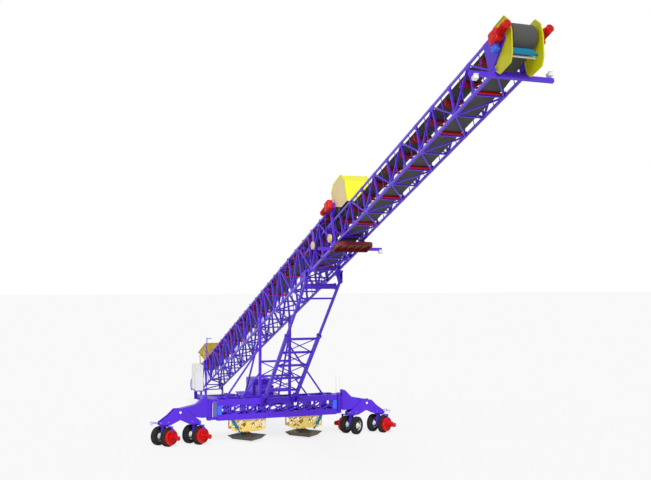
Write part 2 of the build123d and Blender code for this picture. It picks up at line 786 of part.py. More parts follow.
with BuildPart() as drawbar:
    for y in (-rail_y, rail_y):
        add(bar((-250, y, rail_z(-250)), (axle_x, y, rail_z(axle_x)), rail_wide, rail_high))
    stations = [700 + (rail_end - 900) * k / 8 for k in range(9)]
    for x in stations:
        add(bar((x, -rail_y, rail_z(x)), (x, rail_y, rail_z(x)), 90, 120))
    for k, (near, far) in enumerate(zip(stations, stations[1:])):
        y = rail_y if k % 2 else -rail_y
        add(bar((near, -y, rail_z(near)), (far, y, rail_z(far)), 70, 70))
    split(bisect_by=Plane(origin=(rail_end, 0, 0), z_dir=(1, 0, 0)), keep=Keep.BOTTOM)
    add(box_between((-260, -rail_y - 60, head_low), (260, rail_y + 60, head_top)))
    for y in (-1, 1):
        with BuildSketch(Plane(origin=(0, y * (cheek_y + 25), 0), x_dir=(1, 0, 0), z_dir=(0, -1, 0))):
            Polygon((-240, head_top), (-110, luff_pin_z + 110), (110, luff_pin_z + 110), (240, head_top), align=None)
        extrude(amount=25, both=True)
        add(rod((0, y * outer_half_width, luff_pin_z), (0, y * (cheek_y + 70), luff_pin_z), luff_pin_radius))
    # Deck of the power pack
    add(box_between((deck_x - deck_half, -rail_y - 40, deck_z - deck_thick), (deck_x + deck_half, rail_y + 40, deck_z)))
    for x in (deck_x - 1200, deck_x + 1200):
        for y in (-rail_y, rail_y):
            add(box_between((x - 50, y - 50, rail_z(x)), (x + 50, y + 50, deck_z - deck_thick)))
    # Shelf of the cabinets, signal mast and the cable reel's stand
    add(box_between((1100, -1620, shelf_z - 40), (2650, -rail_y + 20, shelf_z)))
    for x in (1250, 2450):
        add(box_between((x - 40, -rail_y - 60, rail_z(x)), (x + 40, -rail_y + 20, shelf_z - 20)))
    add(rod((2720, -rail_y, rail_z(2720)), (2720, -rail_y, 4450), 28))
    add(rod((2720, -rail_y, 4400), (2720, -rail_y + 300, 4400), 22))
    add(box_between((reel_x - 60, reel_y + reel_half, head_low), (reel_x + 60, -rail_y, reel_z + 90)))
write(drawbar, "drawbar_frame")

with BuildPart() as power_pack:
    add(box_between((deck_x - 1000, -520, deck_z), (deck_x + 350, 520, deck_z + 850)))
    add(box_between((deck_x + 450, -430, deck_z), (deck_x + 1150, 430, deck_z + 570)))
    add(box_between((deck_x + 350, -120, deck_z + 70), (deck_x + 450, 120, deck_z + 270)))
write(power_pack, "power_pack")

# Ground base that the machine slews on
with BuildPart() as slew_base:
    with BuildSketch(Plane.XY):
        Circle(base_radius)
        with PolarLocations(base_radius - 80, 12):
            Circle(18, mode=Mode.SUBTRACT)
    extrude(amount=base_plate)
    with BuildSketch(Plane.XY.offset(base_plate)):
        Circle(spigot_radius)
    extrude(amount=turntable_high - 10)
write(slew_base, "slew_base")

# Cable reel and control cabinets at the tail
with BuildPart() as reel:
    side = Plane(origin=(reel_x, reel_y, reel_z), x_dir=(1, 0, 0), z_dir=(0, -1, 0))
    for offset in (-reel_half + 6, reel_half - 6):
        with BuildSketch(side.offset(offset)):
            RegularPolygon(reel_r, side_count=drum_sides)
        extrude(amount=6, both=True)
    with BuildSketch(side):
        RegularPolygon(reel_r - 60, side_count=drum_sides)
    extrude(amount=reel_half - 12, both=True)
    with BuildSketch(side):
        Circle(80)
    extrude(amount=reel_half + 50)
write(reel, "cable_reel")
with BuildPart() as cabinets:
    for x in (1150, 1900):
        add(box_between((x, -1600, shelf_z), (x + 700, -1150, 2720)))
write(cabinets, "control_cabinets")

# Swinging arms, rocker beams and steered wheel sets, one of each side
arm_outline = [(3600, 1290), (3600, 2400), (3760, 2430), (4080, 2180), (5060, 2090), (5160, 1900),
               (5060, 1720), (4560, 1600), (3900, 1290)]
rocker_outline = [(4700, 2150), (5250, 2150), (5560, 1720), (6010, 1160), (6010, steer_deck_z),
                  (5470, steer_deck_z), (4975, 1420), (4480, steer_deck_z), (3940, steer_deck_z),
                  (3940, 1160), (4390, 1720)]
for side, name in ((-1, "right"), (1, "left")):
    hinge = (axle_x, side * knuckle_y)
    with BuildPart() as arm:
        column_low = beam_bottom + end_lug + knuckle_gap
        column_high = beam_top - end_lug - seat
        with BuildSketch(Plane.XY.offset(column_low)):
            with Locations(hinge):
                Circle(knuckle_radius)
                Circle(knuckle_pin_radius + seat, mode=Mode.SUBTRACT)
        extrude(amount=column_high - column_low)
        for x in (-1, 1):
            add(cross_plate(axle_x + x * (arm_half_depth - arm_plate / 2), arm_plate,
                            [(side * y, z) for y, z in arm_outline],
                            [(side * rocker_y, rocker_z, rocker_pin_radius + seat)]))
        web = [side * (knuckle_y + 110), side * 3720]
        add(box_between((axle_x - arm_half_depth + arm_plate, min(web), 1400),
                        (axle_x + arm_half_depth - arm_plate, max(web), 2030)))
    write(arm, "swing_arm_" + name)
    with BuildPart() as rocker:
        for x in (-1, 1):
            middle = axle_x + x * (rocker_half_depth - rocker_plate / 2)
            add(cross_plate(middle, rocker_plate, [(side * y, z) for y, z in rocker_outline]))
        add(rod((axle_x - rocker_half_depth - 20, side * rocker_y, rocker_z),
                (axle_x + rocker_half_depth + 20, side * rocker_y, rocker_z), rocker_pin_radius))
        for y in (rocker_y - wheel_set_reach, rocker_y + wheel_set_reach):
            add(box_between((axle_x - rocker_half_depth, side * y - 250, steer_deck_z),
                            (axle_x + rocker_half_depth, side * y + 250, steer_deck_z + 40)))
    write(rocker, "rocker_beam_" + name)
    for y, place in ((rocker_y - wheel_set_reach, "inner"), (rocker_y + wheel_set_reach, "outer")):
        centre = Vector(axle_x, side * y, 0)
        turn = math.radians(steer_angle)
        along = Vector(math.cos(turn), math.sin(turn), 0)
        axis = Plane(origin=centre + Vector(0, 0, tyre_radius), x_dir=(0, 0, 1), z_dir=along)
        gear_end = -1 if (side, place) == (1, "inner") else 1
        with BuildPart() as steer_leg:
            with BuildSketch(Plane.XY.offset(steer_deck_z - seat - 40)):
                with Locations((centre.X, centre.Y)):
                    Circle(steer_deck_radius)
            extrude(amount=40)
            with BuildSketch(axis):
                with Locations((270, 0)):
                    Rectangle(540, 200)
                Circle(125)
                Circle(wheel_axle_radius + seat, mode=Mode.SUBTRACT)
            extrude(amount=steer_leg_half, both=True)
            reach = tyre_half_track + tyre_width / 2 + 10 + drive_length
            top = centre + Vector(0, 0, 975)
            add(bar(tuple(top), tuple(top + along * gear_end * (reach - 20)), 120, 40))
            drop = centre + along * gear_end * (reach - 60)
            add(bar((drop.X, drop.Y, 975), (drop.X, drop.Y, tyre_radius + drive_radius + seat), 80, 80))
        write(steer_leg, "steer_leg_" + name + "_" + place)
        with BuildPart() as wheel_drive:
            face = tyre_half_track + tyre_width / 2 + 10
            with BuildSketch(axis.offset(gear_end * face)):
                RegularPolygon(drive_radius, side_count=drive_sides)
                Circle(wheel_axle_radius + seat, mode=Mode.SUBTRACT)
            extrude(amount=gear_end * drive_length)
            with BuildSketch(axis.offset(gear_end * (face + drive_length))):
                RegularPolygon(motor_radius, side_count=drive_sides)
            extrude(amount=gear_end * motor_length)
        write(wheel_drive, "wheel_drive_" + name + "_" + place)
        with BuildPart() as rims:
            with BuildSketch(axis):
                Circle(wheel_axle_radius)
            extrude(amount=tyre_half_track + tyre_width / 2 + 60, both=True)
            for end in (-1, 1):
                with BuildSketch(axis.offset(end * tyre_half_track)):
                    RegularPolygon(rim_radius, side_count=tyre_sides)
                extrude(amount=tyre_width / 2 - 25, both=True)
        write(rims, "wheel_hubs_" + name + "_" + place)
        with BuildPart() as tyres:
            for end in (-1, 1):
                middle = axis.offset(end * tyre_half_track)
                with BuildSketch(middle):
                    RegularPolygon(tyre_radius, side_count=tyre_sides)
                extrude(amount=tyre_width / 2 - tyre_edge, both=True)
                for face in (-1, 1):
                    with BuildSketch(middle.offset(face * (tyre_width / 2 - tyre_edge))):
                        RegularPolygon(tyre_radius, side_count=tyre_sides)
                    extrude(amount=face * tyre_edge, taper=45)
                with BuildSketch(middle):
                    RegularPolygon(rim_radius, side_count=tyre_sides)
                extrude(amount=tyre_width / 2, both=True, mode=Mode.SUBTRACT)
        write(tyres, "tyres_" + name + "_" + place)

# Lift legs: outer tubes hinged on the beam, inner tubes that slide out to the boom
foot = Vector(axle_x + leg_foot_x, 0, leg_foot_z)
top = Vector(*boom_point(leg_top_s, -leg_top_drop))
leg_run = (top - foot).normalized()
leg_length = (top - foot).length
leg_square = Vector(-leg_run.Z, 0, leg_run.X)
mouth = leg_length * leg_split


def leg_point(distance, y=0, rise=0):
    """A point along the lift legs."""
    return foot + leg_run * distance + leg_square * rise + Vector(0, y, 0)


with BuildPart() as leg_outer:
    for y in (-leg_y, leg_y):
        square = Plane(origin=leg_point(0, y), x_dir=(0, 1, 0), z_dir=leg_run)
        with BuildSketch(square.offset(150)):
            Rectangle(leg_tube, leg_tube)
            Rectangle(leg_tube - 2 * leg_wall, leg_tube - 2 * leg_wall, mode=Mode.SUBTRACT)
        extrude(amount=mouth - 150)
        with BuildSketch(square.offset(mouth - 160)):
            Rectangle(leg_tube + 40, leg_tube + 40)
            Rectangle(leg_inner_tube + 2 * seat, leg_inner_tube + 2 * seat, mode=Mode.SUBTRACT)
        extrude(amount=160)
        with BuildSketch(Plane(origin=leg_point(0, y), x_dir=leg_run, z_dir=(0, -1, 0))):
            Circle(95)
            with Locations((110, 0)):
                Rectangle(220, leg_tube)
            Circle(leg_pin_radius + seat, mode=Mode.SUBTRACT)
        extrude(amount=leg_tube / 2, both=True)
    rungs = [420 + (mouth - 700) * k / 4 for k in range(5)]
    inner_y = leg_y - leg_tube / 2
    for distance in rungs:
        add(bar(tuple(leg_point(distance, -inner_y)), tuple(leg_point(distance, inner_y)), 100, 110))
    for near, far in zip(rungs, rungs[1:]):
        for y in (-1, 1):
            add(bar(tuple(leg_point(near, y * inner_y)), tuple(leg_point(far, -y * inner_y)), 46, 46))
write(leg_outer, "lift_leg_tubes")

with BuildPart() as leg_inner:
    for y in (-leg_y, leg_y):
        square = Plane(origin=leg_point(0, y), x_dir=(0, 1, 0), z_dir=leg_run)
        with BuildSketch(square.offset(mouth - leg_overlap)):
            Rectangle(leg_inner_tube, leg_inner_tube)
        extrude(amount=leg_length - leg_tube_stop - mouth + leg_overlap)
        with BuildSketch(Plane(origin=leg_point(leg_length, y), x_dir=leg_run, z_dir=(0, -1, 0))):
            with Locations((-leg_eye_clear - leg_neck / 2, 0)):
                Rectangle(leg_neck, leg_inner_tube)
            Circle(leg_eye_clear + leg_eye_ring)
            Circle(leg_eye_clear, mode=Mode.SUBTRACT)
        extrude(amount=35, both=True)
    inner_y = leg_y - leg_inner_tube / 2
    for distance in (leg_length - 330, leg_length - 1150):
        add(bar(tuple(leg_point(distance, -inner_y)), tuple(leg_point(distance, inner_y)), 80, 80))
write(leg_inner, "lift_leg_rods")

# Feet under the axle beam: fixed yellow frames and the pads that they lower
for side, name in ((-1, "right"), (1, "left")):
    y = side * foot_y
    with BuildPart() as foot_frame:
        for x in (-1, 1):
            outline = [(y - 900, beam_bottom), (y + 900, beam_bottom), (y + 900, 620), (y + 620, 520), (y - 620, 520),
                       (y - 900, 620)]
            add(cross_plate(axle_x + x * 330, 30, outline))
        add(box_between((axle_x - 345, y - 900, beam_bottom - 60), (axle_x + 345, y + 900, beam_bottom)))
        with BuildSketch(Plane.XY.offset(430)):
            with Locations((axle_x, y)):
                Rectangle(200, 200)
                Rectangle(foot_post_wide + 2 * seat, foot_post_wide + 2 * seat, mode=Mode.SUBTRACT)
        extrude(amount=beam_bottom - 430)
        for x in (-1, 1):
            low, high = sorted((axle_x + x * 100, axle_x + x * 330))
            add(box_between((low, y - 60, 560), (high, y + 60, 640)))
        for x in (-1, 1):
            with BuildSketch(Plane(origin=(axle_x + x * 330, 0, 0), x_dir=(0, 1, 0), z_dir=(1, 0, 0))):
                for left, right in ((y - 830, y - 140), (y + 140, y + 830)):
                    for corners in cross_windows(left, right, 650, 1070, 70):
                        Polygon(*corners, align=None)
            extrude(amount=40, both=True, mode=Mode.SUBTRACT)
    write(foot_frame, "foot_frame_" + name)
    with BuildPart() as foot:
        with BuildSketch(Plane.XY.offset(foot_pad_z + foot_pad_thick)):
            with Locations((axle_x, y)):
                Rectangle(foot_post_wide, foot_post_wide)
        extrude(amount=foot_post_top - foot_pad_z - foot_pad_thick)
        with BuildSketch(Plane.XY.offset(foot_pad_z + foot_pad_thick)):
            with Locations((axle_x, y)):
                Circle(190)
        extrude(amount=70)
        with BuildSketch(Plane.XY.offset(foot_pad_z + foot_pad_thick)):
            with Locations(Location((axle_x, y, 0), (0, 0, 40))):
                Rectangle(foot_pad_x, foot_pad_y)
        extrude(amount=-foot_pad_thick, taper=foot_pad_flare)
    write(foot, "foot_" + name)
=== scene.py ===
"""Telescopic conveyor: paints, fittings, tyres, rolls and the studio stage."""
import json
import math

import bmesh
import bpy
from mathutils import Matrix, Vector


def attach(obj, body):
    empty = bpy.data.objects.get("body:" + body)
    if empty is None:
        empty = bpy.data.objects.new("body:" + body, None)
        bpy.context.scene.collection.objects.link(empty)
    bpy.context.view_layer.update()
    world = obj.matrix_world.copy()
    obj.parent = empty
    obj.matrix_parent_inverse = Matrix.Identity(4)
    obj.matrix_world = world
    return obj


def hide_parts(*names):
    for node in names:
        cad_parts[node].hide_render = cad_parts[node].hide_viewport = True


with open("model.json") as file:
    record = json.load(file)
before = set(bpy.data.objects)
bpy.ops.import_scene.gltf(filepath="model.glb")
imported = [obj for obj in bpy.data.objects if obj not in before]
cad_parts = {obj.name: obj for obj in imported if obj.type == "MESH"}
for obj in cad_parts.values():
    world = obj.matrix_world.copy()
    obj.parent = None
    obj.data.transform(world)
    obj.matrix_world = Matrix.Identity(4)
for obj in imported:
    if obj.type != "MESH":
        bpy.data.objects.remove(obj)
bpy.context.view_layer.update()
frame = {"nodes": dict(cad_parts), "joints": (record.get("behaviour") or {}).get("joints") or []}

bl_info = {
    "name": "Telescopic conveyor",
    "version": (1, 0, 0),
    "blender": (4, 5, 0),
    "location": "View3D > Sidebar > Conveyor",
    "description": "Paints the conveyor, adds its fittings and sets the studio stage",
    "category": "Object",
}

joints = {joint["name"]: joint for joint in frame["joints"]}
luff_pin = Vector(joints["luff"]["pos_m"])
boom_run = Vector(joints["telescope"]["axis"])
boom_up = Vector((-boom_run.z, 0, boom_run.x))


def linear(red, green, blue):
    """Scene colour of a paint given in screen values from 0 to 255."""
    shares = [value / 255 for value in (red, green, blue)]
    return tuple(share / 12.92 if share <= 0.04045 else ((share + 0.055) / 1.055) ** 2.4 for share in shares)


def colour_setting(title, words, red, green, blue):
    """One paint that a user may change."""
    return bpy.props.FloatVectorProperty(
        name=title, description=words, subtype="COLOR", min=0, max=1, default=linear(red, green, blue)
    )


def strength_setting(title, words, strength):
    """One strength of light that a user may change."""
    return bpy.props.FloatProperty(name=title, description=words, min=0, default=strength)


def size_setting(title, words, metres):
    """One size that a user may change."""
    return bpy.props.FloatProperty(
        name=title, description=words, subtype="DISTANCE", unit="LENGTH", min=0.001, precision=4,
        default=metres
    )


class ConveyorSizes(bpy.types.PropertyGroup):
    """Sizes of the fittings that the scene adds."""
    tyre_radius: size_setting("Tyre radius", "Radius of a tyre under its lugs", 0.447)
    lug_height: size_setting("Lug height", "Height of the tyres' lugs", 0.018)
    idler_radius: size_setting("Idler radius", "Radius of the carrying and return rolls", 0.054)
    guide_radius: size_setting("Guide wheel radius", "Radius of the telescope's guide wheels", 0.17)
    chord_radius: size_setting("Chord radius", "Radius of the inner boom's chord tubes", 0.0465)
    outer_web: size_setting("Outer web", "Width of the outer boom's thin webs", 0.03)
    inner_web: size_setting("Inner web", "Width of the inner boom's thin webs", 0.024)
    leg_beam_height: size_setting("Leg beam height", "Height of the beam near the lift legs' top", 0.24)


class ConveyorPaints(bpy.types.PropertyGroup):
    """Paint colours of the machine."""
    frame_purple: colour_setting("Frame purple", "Paint of trusses, beam and arms", 88, 40, 216)
    # Painted highlight: a paler lavender than the frame purple, standing in for the light on the chords' tops.
    chord_lavender: colour_setting("Chord lavender", "Paint of the booms' chords", 124, 100, 232)
    drive_red: colour_setting("Drive red", "Paint of drives and return rollers", 212, 0, 0)
    idler_red: colour_setting("Idler red", "Paint of the carrying idlers", 178, 2, 2)
    tray_red: colour_setting("Tray red", "Primer of the spill tray", 122, 40, 32)
    hood_yellow: colour_setting("Hood yellow", "Paint of the transfer hood", 250, 246, 6)
    # Painted light: the hood's side panels are a paler peach than its yellow roof, for the light on its sides;
    # the guide wheels are painted the same peach.
    hood_peach: colour_setting("Hood peach", "Paint of the hood's side panels", 240, 216, 160)
    shield_yellow: colour_setting("Shield yellow", "Paint of the head shields", 206, 204, 4)
    hopper_yellow: colour_setting("Hopper yellow", "Paint of the feed hopper", 205, 180, 62)
    foot_yellow: colour_setting("Foot yellow", "Paint of the foot frames", 255, 206, 74)
    pad_grey: colour_setting("Pad grey", "Bare steel of the foot pads", 88, 82, 70)
    teal: colour_setting("Teal", "Paint of cylinders and scrapers", 0, 122, 160)
    plate_blue: colour_setting("Plate blue", "Paint of the beam's end plates", 62, 110, 255)
    cabinet_white: colour_setting("Cabinet white", "Powder coat of cabinets and lamps", 240, 240, 238)


class ConveyorStage(bpy.types.PropertyGroup):
    """Camera and light of the studio."""
    camera_place: bpy.props.FloatVectorProperty(
        name="Camera place", description="Where the camera stands", subtype="TRANSLATION", unit="LENGTH",
        default=(57.999, -13.320, 8.130)
    )
    camera_heading: bpy.props.FloatVectorProperty(
        name="Camera heading", description="Level direction that the camera looks in", subtype="XYZ",
        default=(-0.938, 0.347, 0.0)
    )
    camera_rise: bpy.props.FloatProperty(
        name="Camera rise", description="Upward tilt of the camera", subtype="ANGLE", default=0.046
    )
    lens: bpy.props.FloatProperty(
        name="Lens", description="Focal length on a 36 mm sensor", unit="CAMERA", default=48.32
    )
    key_strength: strength_setting("Key light", "Strength of the key lamp", 1.9)
    fill_strength: strength_setting("Fill light", "Strength of the fill lamp", 0.7)
    sky_strength: strength_setting("Sky light", "Strength of the even light", 0.35)


def new_paint(name, colour, roughness, metallic=0.0, coat=0.0, gloss=0.3):
    """Material with its uniform values on the shader's own sockets."""
    material = bpy.data.materials.new(name)
    material.use_nodes = True
    shader = material.node_tree.nodes["Principled BSDF"]
    shader.inputs["Base Color"].default_value = (*colour, 1)
    shader.inputs["Roughness"].default_value = roughness
    shader.inputs["Metallic"].default_value = metallic
    shader.inputs["Coat Weight"].default_value = coat
    shader.inputs["Specular IOR Level"].default_value = gloss
    material.diffuse_color = (*colour, 1)
    return material


def noise(material, scale, detail=3.0):
    """Noise on the object's own coordinates."""
    nodes, links = material.node_tree.nodes, material.node_tree.links
    place = nodes.new("ShaderNodeTexCoord")
    texture = nodes.new("ShaderNodeTexNoise")
    texture.inputs["Scale"].default_value = scale
    texture.inputs["Detail"].default_value = detail
    links.new(place.outputs["Object"], texture.inputs["Vector"])
    return texture.outputs["Fac"]


def mottle(material, colour, scale, depth):
    """Lighter and darker patches of the paint."""
    nodes, links = material.node_tree.nodes, material.node_tree.links
    ramp = nodes.new("ShaderNodeValToRGB")
    ramp.color_ramp.elements[0].position = 0.35
    ramp.color_ramp.elements[1].position = 0.65
    ramp.color_ramp.elements[0].color = (*[value * (1 - depth) for value in colour], 1)
    ramp.color_ramp.elements[1].color = (*[min(1, value * (1 + depth)) for value in colour], 1)
    links.new(noise(material, scale), ramp.inputs["Fac"])
    links.new(ramp.outputs["Color"], nodes["Principled BSDF"].inputs["Base Color"])


def grain(material, scale, depth):
    """Fine relief of the surface."""
    nodes, links = material.node_tree.nodes, material.node_tree.links
    bump = nodes.new("ShaderNodeBump")
    bump.inputs["Strength"].default_value = 0.4
    bump.inputs["Distance"].default_value = depth
    links.new(noise(material, scale), bump.inputs["Height"])
    links.new(bump.outputs["Normal"], nodes["Principled BSDF"].inputs["Normal"])


def satin(material, low, high, scale):
    """Roughness that changes a little over the surface."""
    nodes, links = material.node_tree.nodes, material.node_tree.links
    spread = nodes.new("ShaderNodeMapRange")
    spread.inputs["To Min"].default_value = low
    spread.inputs["To Max"].default_value = high
    links.new(noise(material, scale), spread.inputs["Value"])
    links.new(spread.outputs["Result"], nodes["Principled BSDF"].inputs["Roughness"])


def painted(name, colour, depth=0.05):
    """Sprayed steel: faint patches, orange peel and a clear coat."""
    material = new_paint(name, colour, 0.4, coat=0.06)
    mottle(material, colour, 0.9, depth)
    satin(material, 0.32, 0.48, 2.5)
    grain(material, 260, 0.0006)
    return material


class CONVEYOR_OT_finishes(bpy.types.Operator):
    """Makes the finishes and gives every node of the frame its own"""
    bl_idname = "conveyor.finishes"
    bl_label = "Paint the frame"

    def execute(self, context):
        paints = context.scene.conveyor_paints
        for name in ConveyorPaints.__annotations__:
            if name != "pad_grey":
                painted(name, getattr(paints, name))
        pad = new_paint("pad_grey", paints.pad_grey, 0.55, metallic=0.3)
        mottle(pad, paints.pad_grey, 6, 0.2)
        grain(pad, 60, 0.002)
        bare = linear(92, 88, 84)
        steel = new_paint("dark_steel", bare, 0.42, metallic=0.7)
        mottle(steel, bare, 8, 0.15)
        grain(steel, 200, 0.0006)
        # The frame brings its own belt_rubber, dark_steel, foot_yellow and hood_yellow, plain colours under
        # the names of its slots. A lookup by name finds those, and not the four that are made here.
        for name, value, size, gloss in (("belt_rubber", 20, 3, 0.006), ("tyre_rubber", 52, 9, 0.03)):
            shade = linear(value, value, value)
            rubber = new_paint(name, shade, 0.8, gloss=gloss)
            mottle(rubber, shade, size, 0.2)
            grain(rubber, 90, 0.001)
        for part, node in frame["nodes"].items():
            node.data.materials.clear()
            node.data.materials.append(bpy.data.materials[finish_of(part)])
        return {"FINISHED"}


node_finishes = (
    ("inner_belt", "belt_rubber"), ("outer_belt_drive", "drive_red"), ("outer_belt", "belt_rubber"),
    ("belt_scraper", "teal"), ("cable_reel", "belt_rubber"), ("control_cabinets", "cabinet_white"),
    ("feed_hopper", "hopper_yellow"), ("foot_frame", "foot_yellow"), ("foot_", "pad_grey"),
    ("head_drives", "drive_red"), ("head_lamps", "cabinet_white"), ("head_shields", "shield_yellow"),
    ("inner_carrying_idlers", "idler_red"), ("outer_carrying_idlers", "idler_red"),
    ("inner_return_rollers", "drive_red"), ("outer_return_rollers", "drive_red"),
    ("inner_pulleys", "dark_steel"), ("outer_pulleys", "dark_steel"), ("outer_lamp", "cabinet_white"),
    ("slew_base", "dark_steel"), ("spill_tray", "tray_red"), ("transfer_hood", "hood_yellow"),
    ("turntable", "dark_steel"), ("tyres", "belt_rubber"), ("wheel_drive", "drive_red"),
    ("wheel_hubs", "cabinet_white"), ("", "frame_purple"),
)


def finish_of(part):
    """Name of a node's finish: the first row whose beginning fits."""
    return next(finish for start, finish in node_finishes if part.startswith(start))


def placed(point, axis=(0, 0, 1)):
    """Matrix that stands a part's own Z along an axis at a point."""
    return Matrix.Translation(point) @ Vector(axis).to_track_quat("Z", "Y").to_matrix().to_4x4()


def on_boom(run, rise, side=0.0):
    """Matrix at a place of the boom: X up the belt, Y level, Z off the belt."""
    matrix = Matrix((boom_run, (0, 1, 0), boom_up)).transposed().to_4x4()
    matrix.translation = luff_pin + boom_run * run + boom_up * rise + Vector((0, side, 0))
    return matrix


def spot(run, rise, side=0.0):
    """Point at a place of the boom."""
    return on_boom(run, rise, side).translation


both = (-1, 1)
names = {1: "left", -1: "right"}
# Places in metres: the carrying belt's rise, the axle beam and what it bears, and the head drum's run and rise.
carry_rise = 1.872
beam_x = 14.6
knuckle_side = 3.47
pin_side, pin_height = 4.975, 1.62
leg_sides = {"inner": 4.2, "outer": 5.75}
axle_height = 0.465
foot_side = 1.52
head_drum = (39.90, 0.88)
across = Matrix.Rotation(math.radians(90), 4, "X")
lengthwise = Matrix.Rotation(math.radians(90), 4, "Y")


def outer_panel(count):
    """Run of a panel point of the outer boom, counted from its tail."""
    return -0.35 + 1.48 * count


def inner_panel(count):
    """Run of a panel point of the inner boom, counted from its tail."""
    return 22.03 + 1.23 * count


def move(x, y, z):
    """Matrix of a shift."""
    return Matrix.Translation((x, y, z))


def on_beam(y, z, ahead=0.0):
    """Matrix at a place across the axle beam."""
    return move(beam_x + ahead, y, z)


def only(*parts):
    """Selects these parts and nothing else."""
    bpy.ops.object.select_all(action="DESELECT")
    for part in parts:
        part.select_set(True)
    bpy.context.view_layer.objects.active = parts[0]


def soften(part, width, steps):
    """Rounds the sharp edges of a part."""
    edge = part.modifiers.new("edge", "BEVEL")
    edge.width = width
    edge.segments = steps
    edge.angle_limit = math.radians(35)
    bpy.ops.object.modifier_apply(modifier="edge")


def block(length, breadth, height, place, edge=0.006, steps=1):
    """Box with softened edges."""
    bpy.ops.object.select_all(action="DESELECT")
    bpy.ops.mesh.primitive_cube_add(size=1)
    part = bpy.context.object
    part.scale = (length, breadth, height)
    bpy.ops.object.transform_apply(location=False, rotation=False, scale=True)
    soften(part, edge, steps)
    part.data.transform(place)
    return part


def drum(radius, length, place, edge=0.006, sides=28, steps=1):
    """Round bar or disc along its own Z with softened rims."""
    bpy.ops.object.select_all(action="DESELECT")
    bpy.ops.mesh.primitive_cylinder_add(vertices=sides, radius=radius, depth=length)
    part = bpy.context.object
    soften(part, edge, steps)
    part.data.transform(place)
    return part


def work(part, chosen, *moves):
    """Selects the faces that a test of normal and middle chooses, and shapes them in edit mode."""
    only(part)
    bpy.ops.object.mode_set(mode="EDIT")
    bpy.ops.mesh.select_mode(type="FACE")
    bpy.ops.mesh.select_all(action="DESELECT")
    mesh = bmesh.from_edit_mesh(part.data)
    for face in mesh.faces:
        face.select_set(chosen(face.normal, face.calc_center_median()))
    bmesh.update_edit_mesh(part.data)
    for tool, settings in moves:
        tool(**settings)
    bpy.ops.object.mode_set(mode="OBJECT")
    return part


def square_to(axes):
    """Test for faces that lie square to one of these axes."""
    return lambda normal, middle: any(abs(getattr(normal, axis)) > 0.99 for axis in axes)


def inset(width, depth=0.0, each=False):
    """One step of an inset with its depth."""
    return bpy.ops.mesh.inset, {"thickness": width, "depth": depth, "use_individual": each}


def copies(part, places, keep=False):
    """Copies of a part, each with its own mesh; the pattern is thrown away unless it is kept."""
    made = []
    for place in places:
        twin = part.copy()
        twin.data = part.data.copy()
        twin.data.transform(place)
        bpy.context.collection.objects.link(twin)
        made.append(twin)
    if not keep:
        bpy.data.objects.remove(part)
    return made


def sizes():
    """The sizes that a user may change."""
    return bpy.context.scene.conveyor_sizes


def joined(parts):
    """One part of several."""
    only(*parts)
    if len(parts) > 1:
        bpy.ops.object.join()
    return bpy.context.object


def round_of(count, radius, turn=0.0):
    """Places round the Z axis."""
    return [Matrix.Rotation(turn + math.tau * k / count, 4, "Z") @ move(radius, 0, 0) for k in range(count)]


def finished(name, body, finish, parts, replaces=()):
    """A piece of these parts: joined, smoothed, painted and set on its body."""
    piece = joined(parts)
    piece.name = name
    piece.data.name = name
    piece.data.materials.clear()
    piece.data.materials.append(bpy.data.materials[finish])
    bpy.ops.object.shade_smooth_by_angle(angle=math.radians(32))
    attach(piece, body)
    if replaces:
        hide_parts(*replaces)
    return piece


wheel_axis = Vector((math.cos(math.radians(34)), math.sin(math.radians(34)), 0))
modules = [(side, name, sign * y) for sign, side in names.items() for name, y in leg_sides.items()]


def on_axle(y, way=1, shift=0.0):
    """Matrix on a module's axle: Z along it, counted from the middle of the pair."""
    return placed(Vector((beam_x, y, axle_height)) + wheel_axis * way * shift, wheel_axis * way)


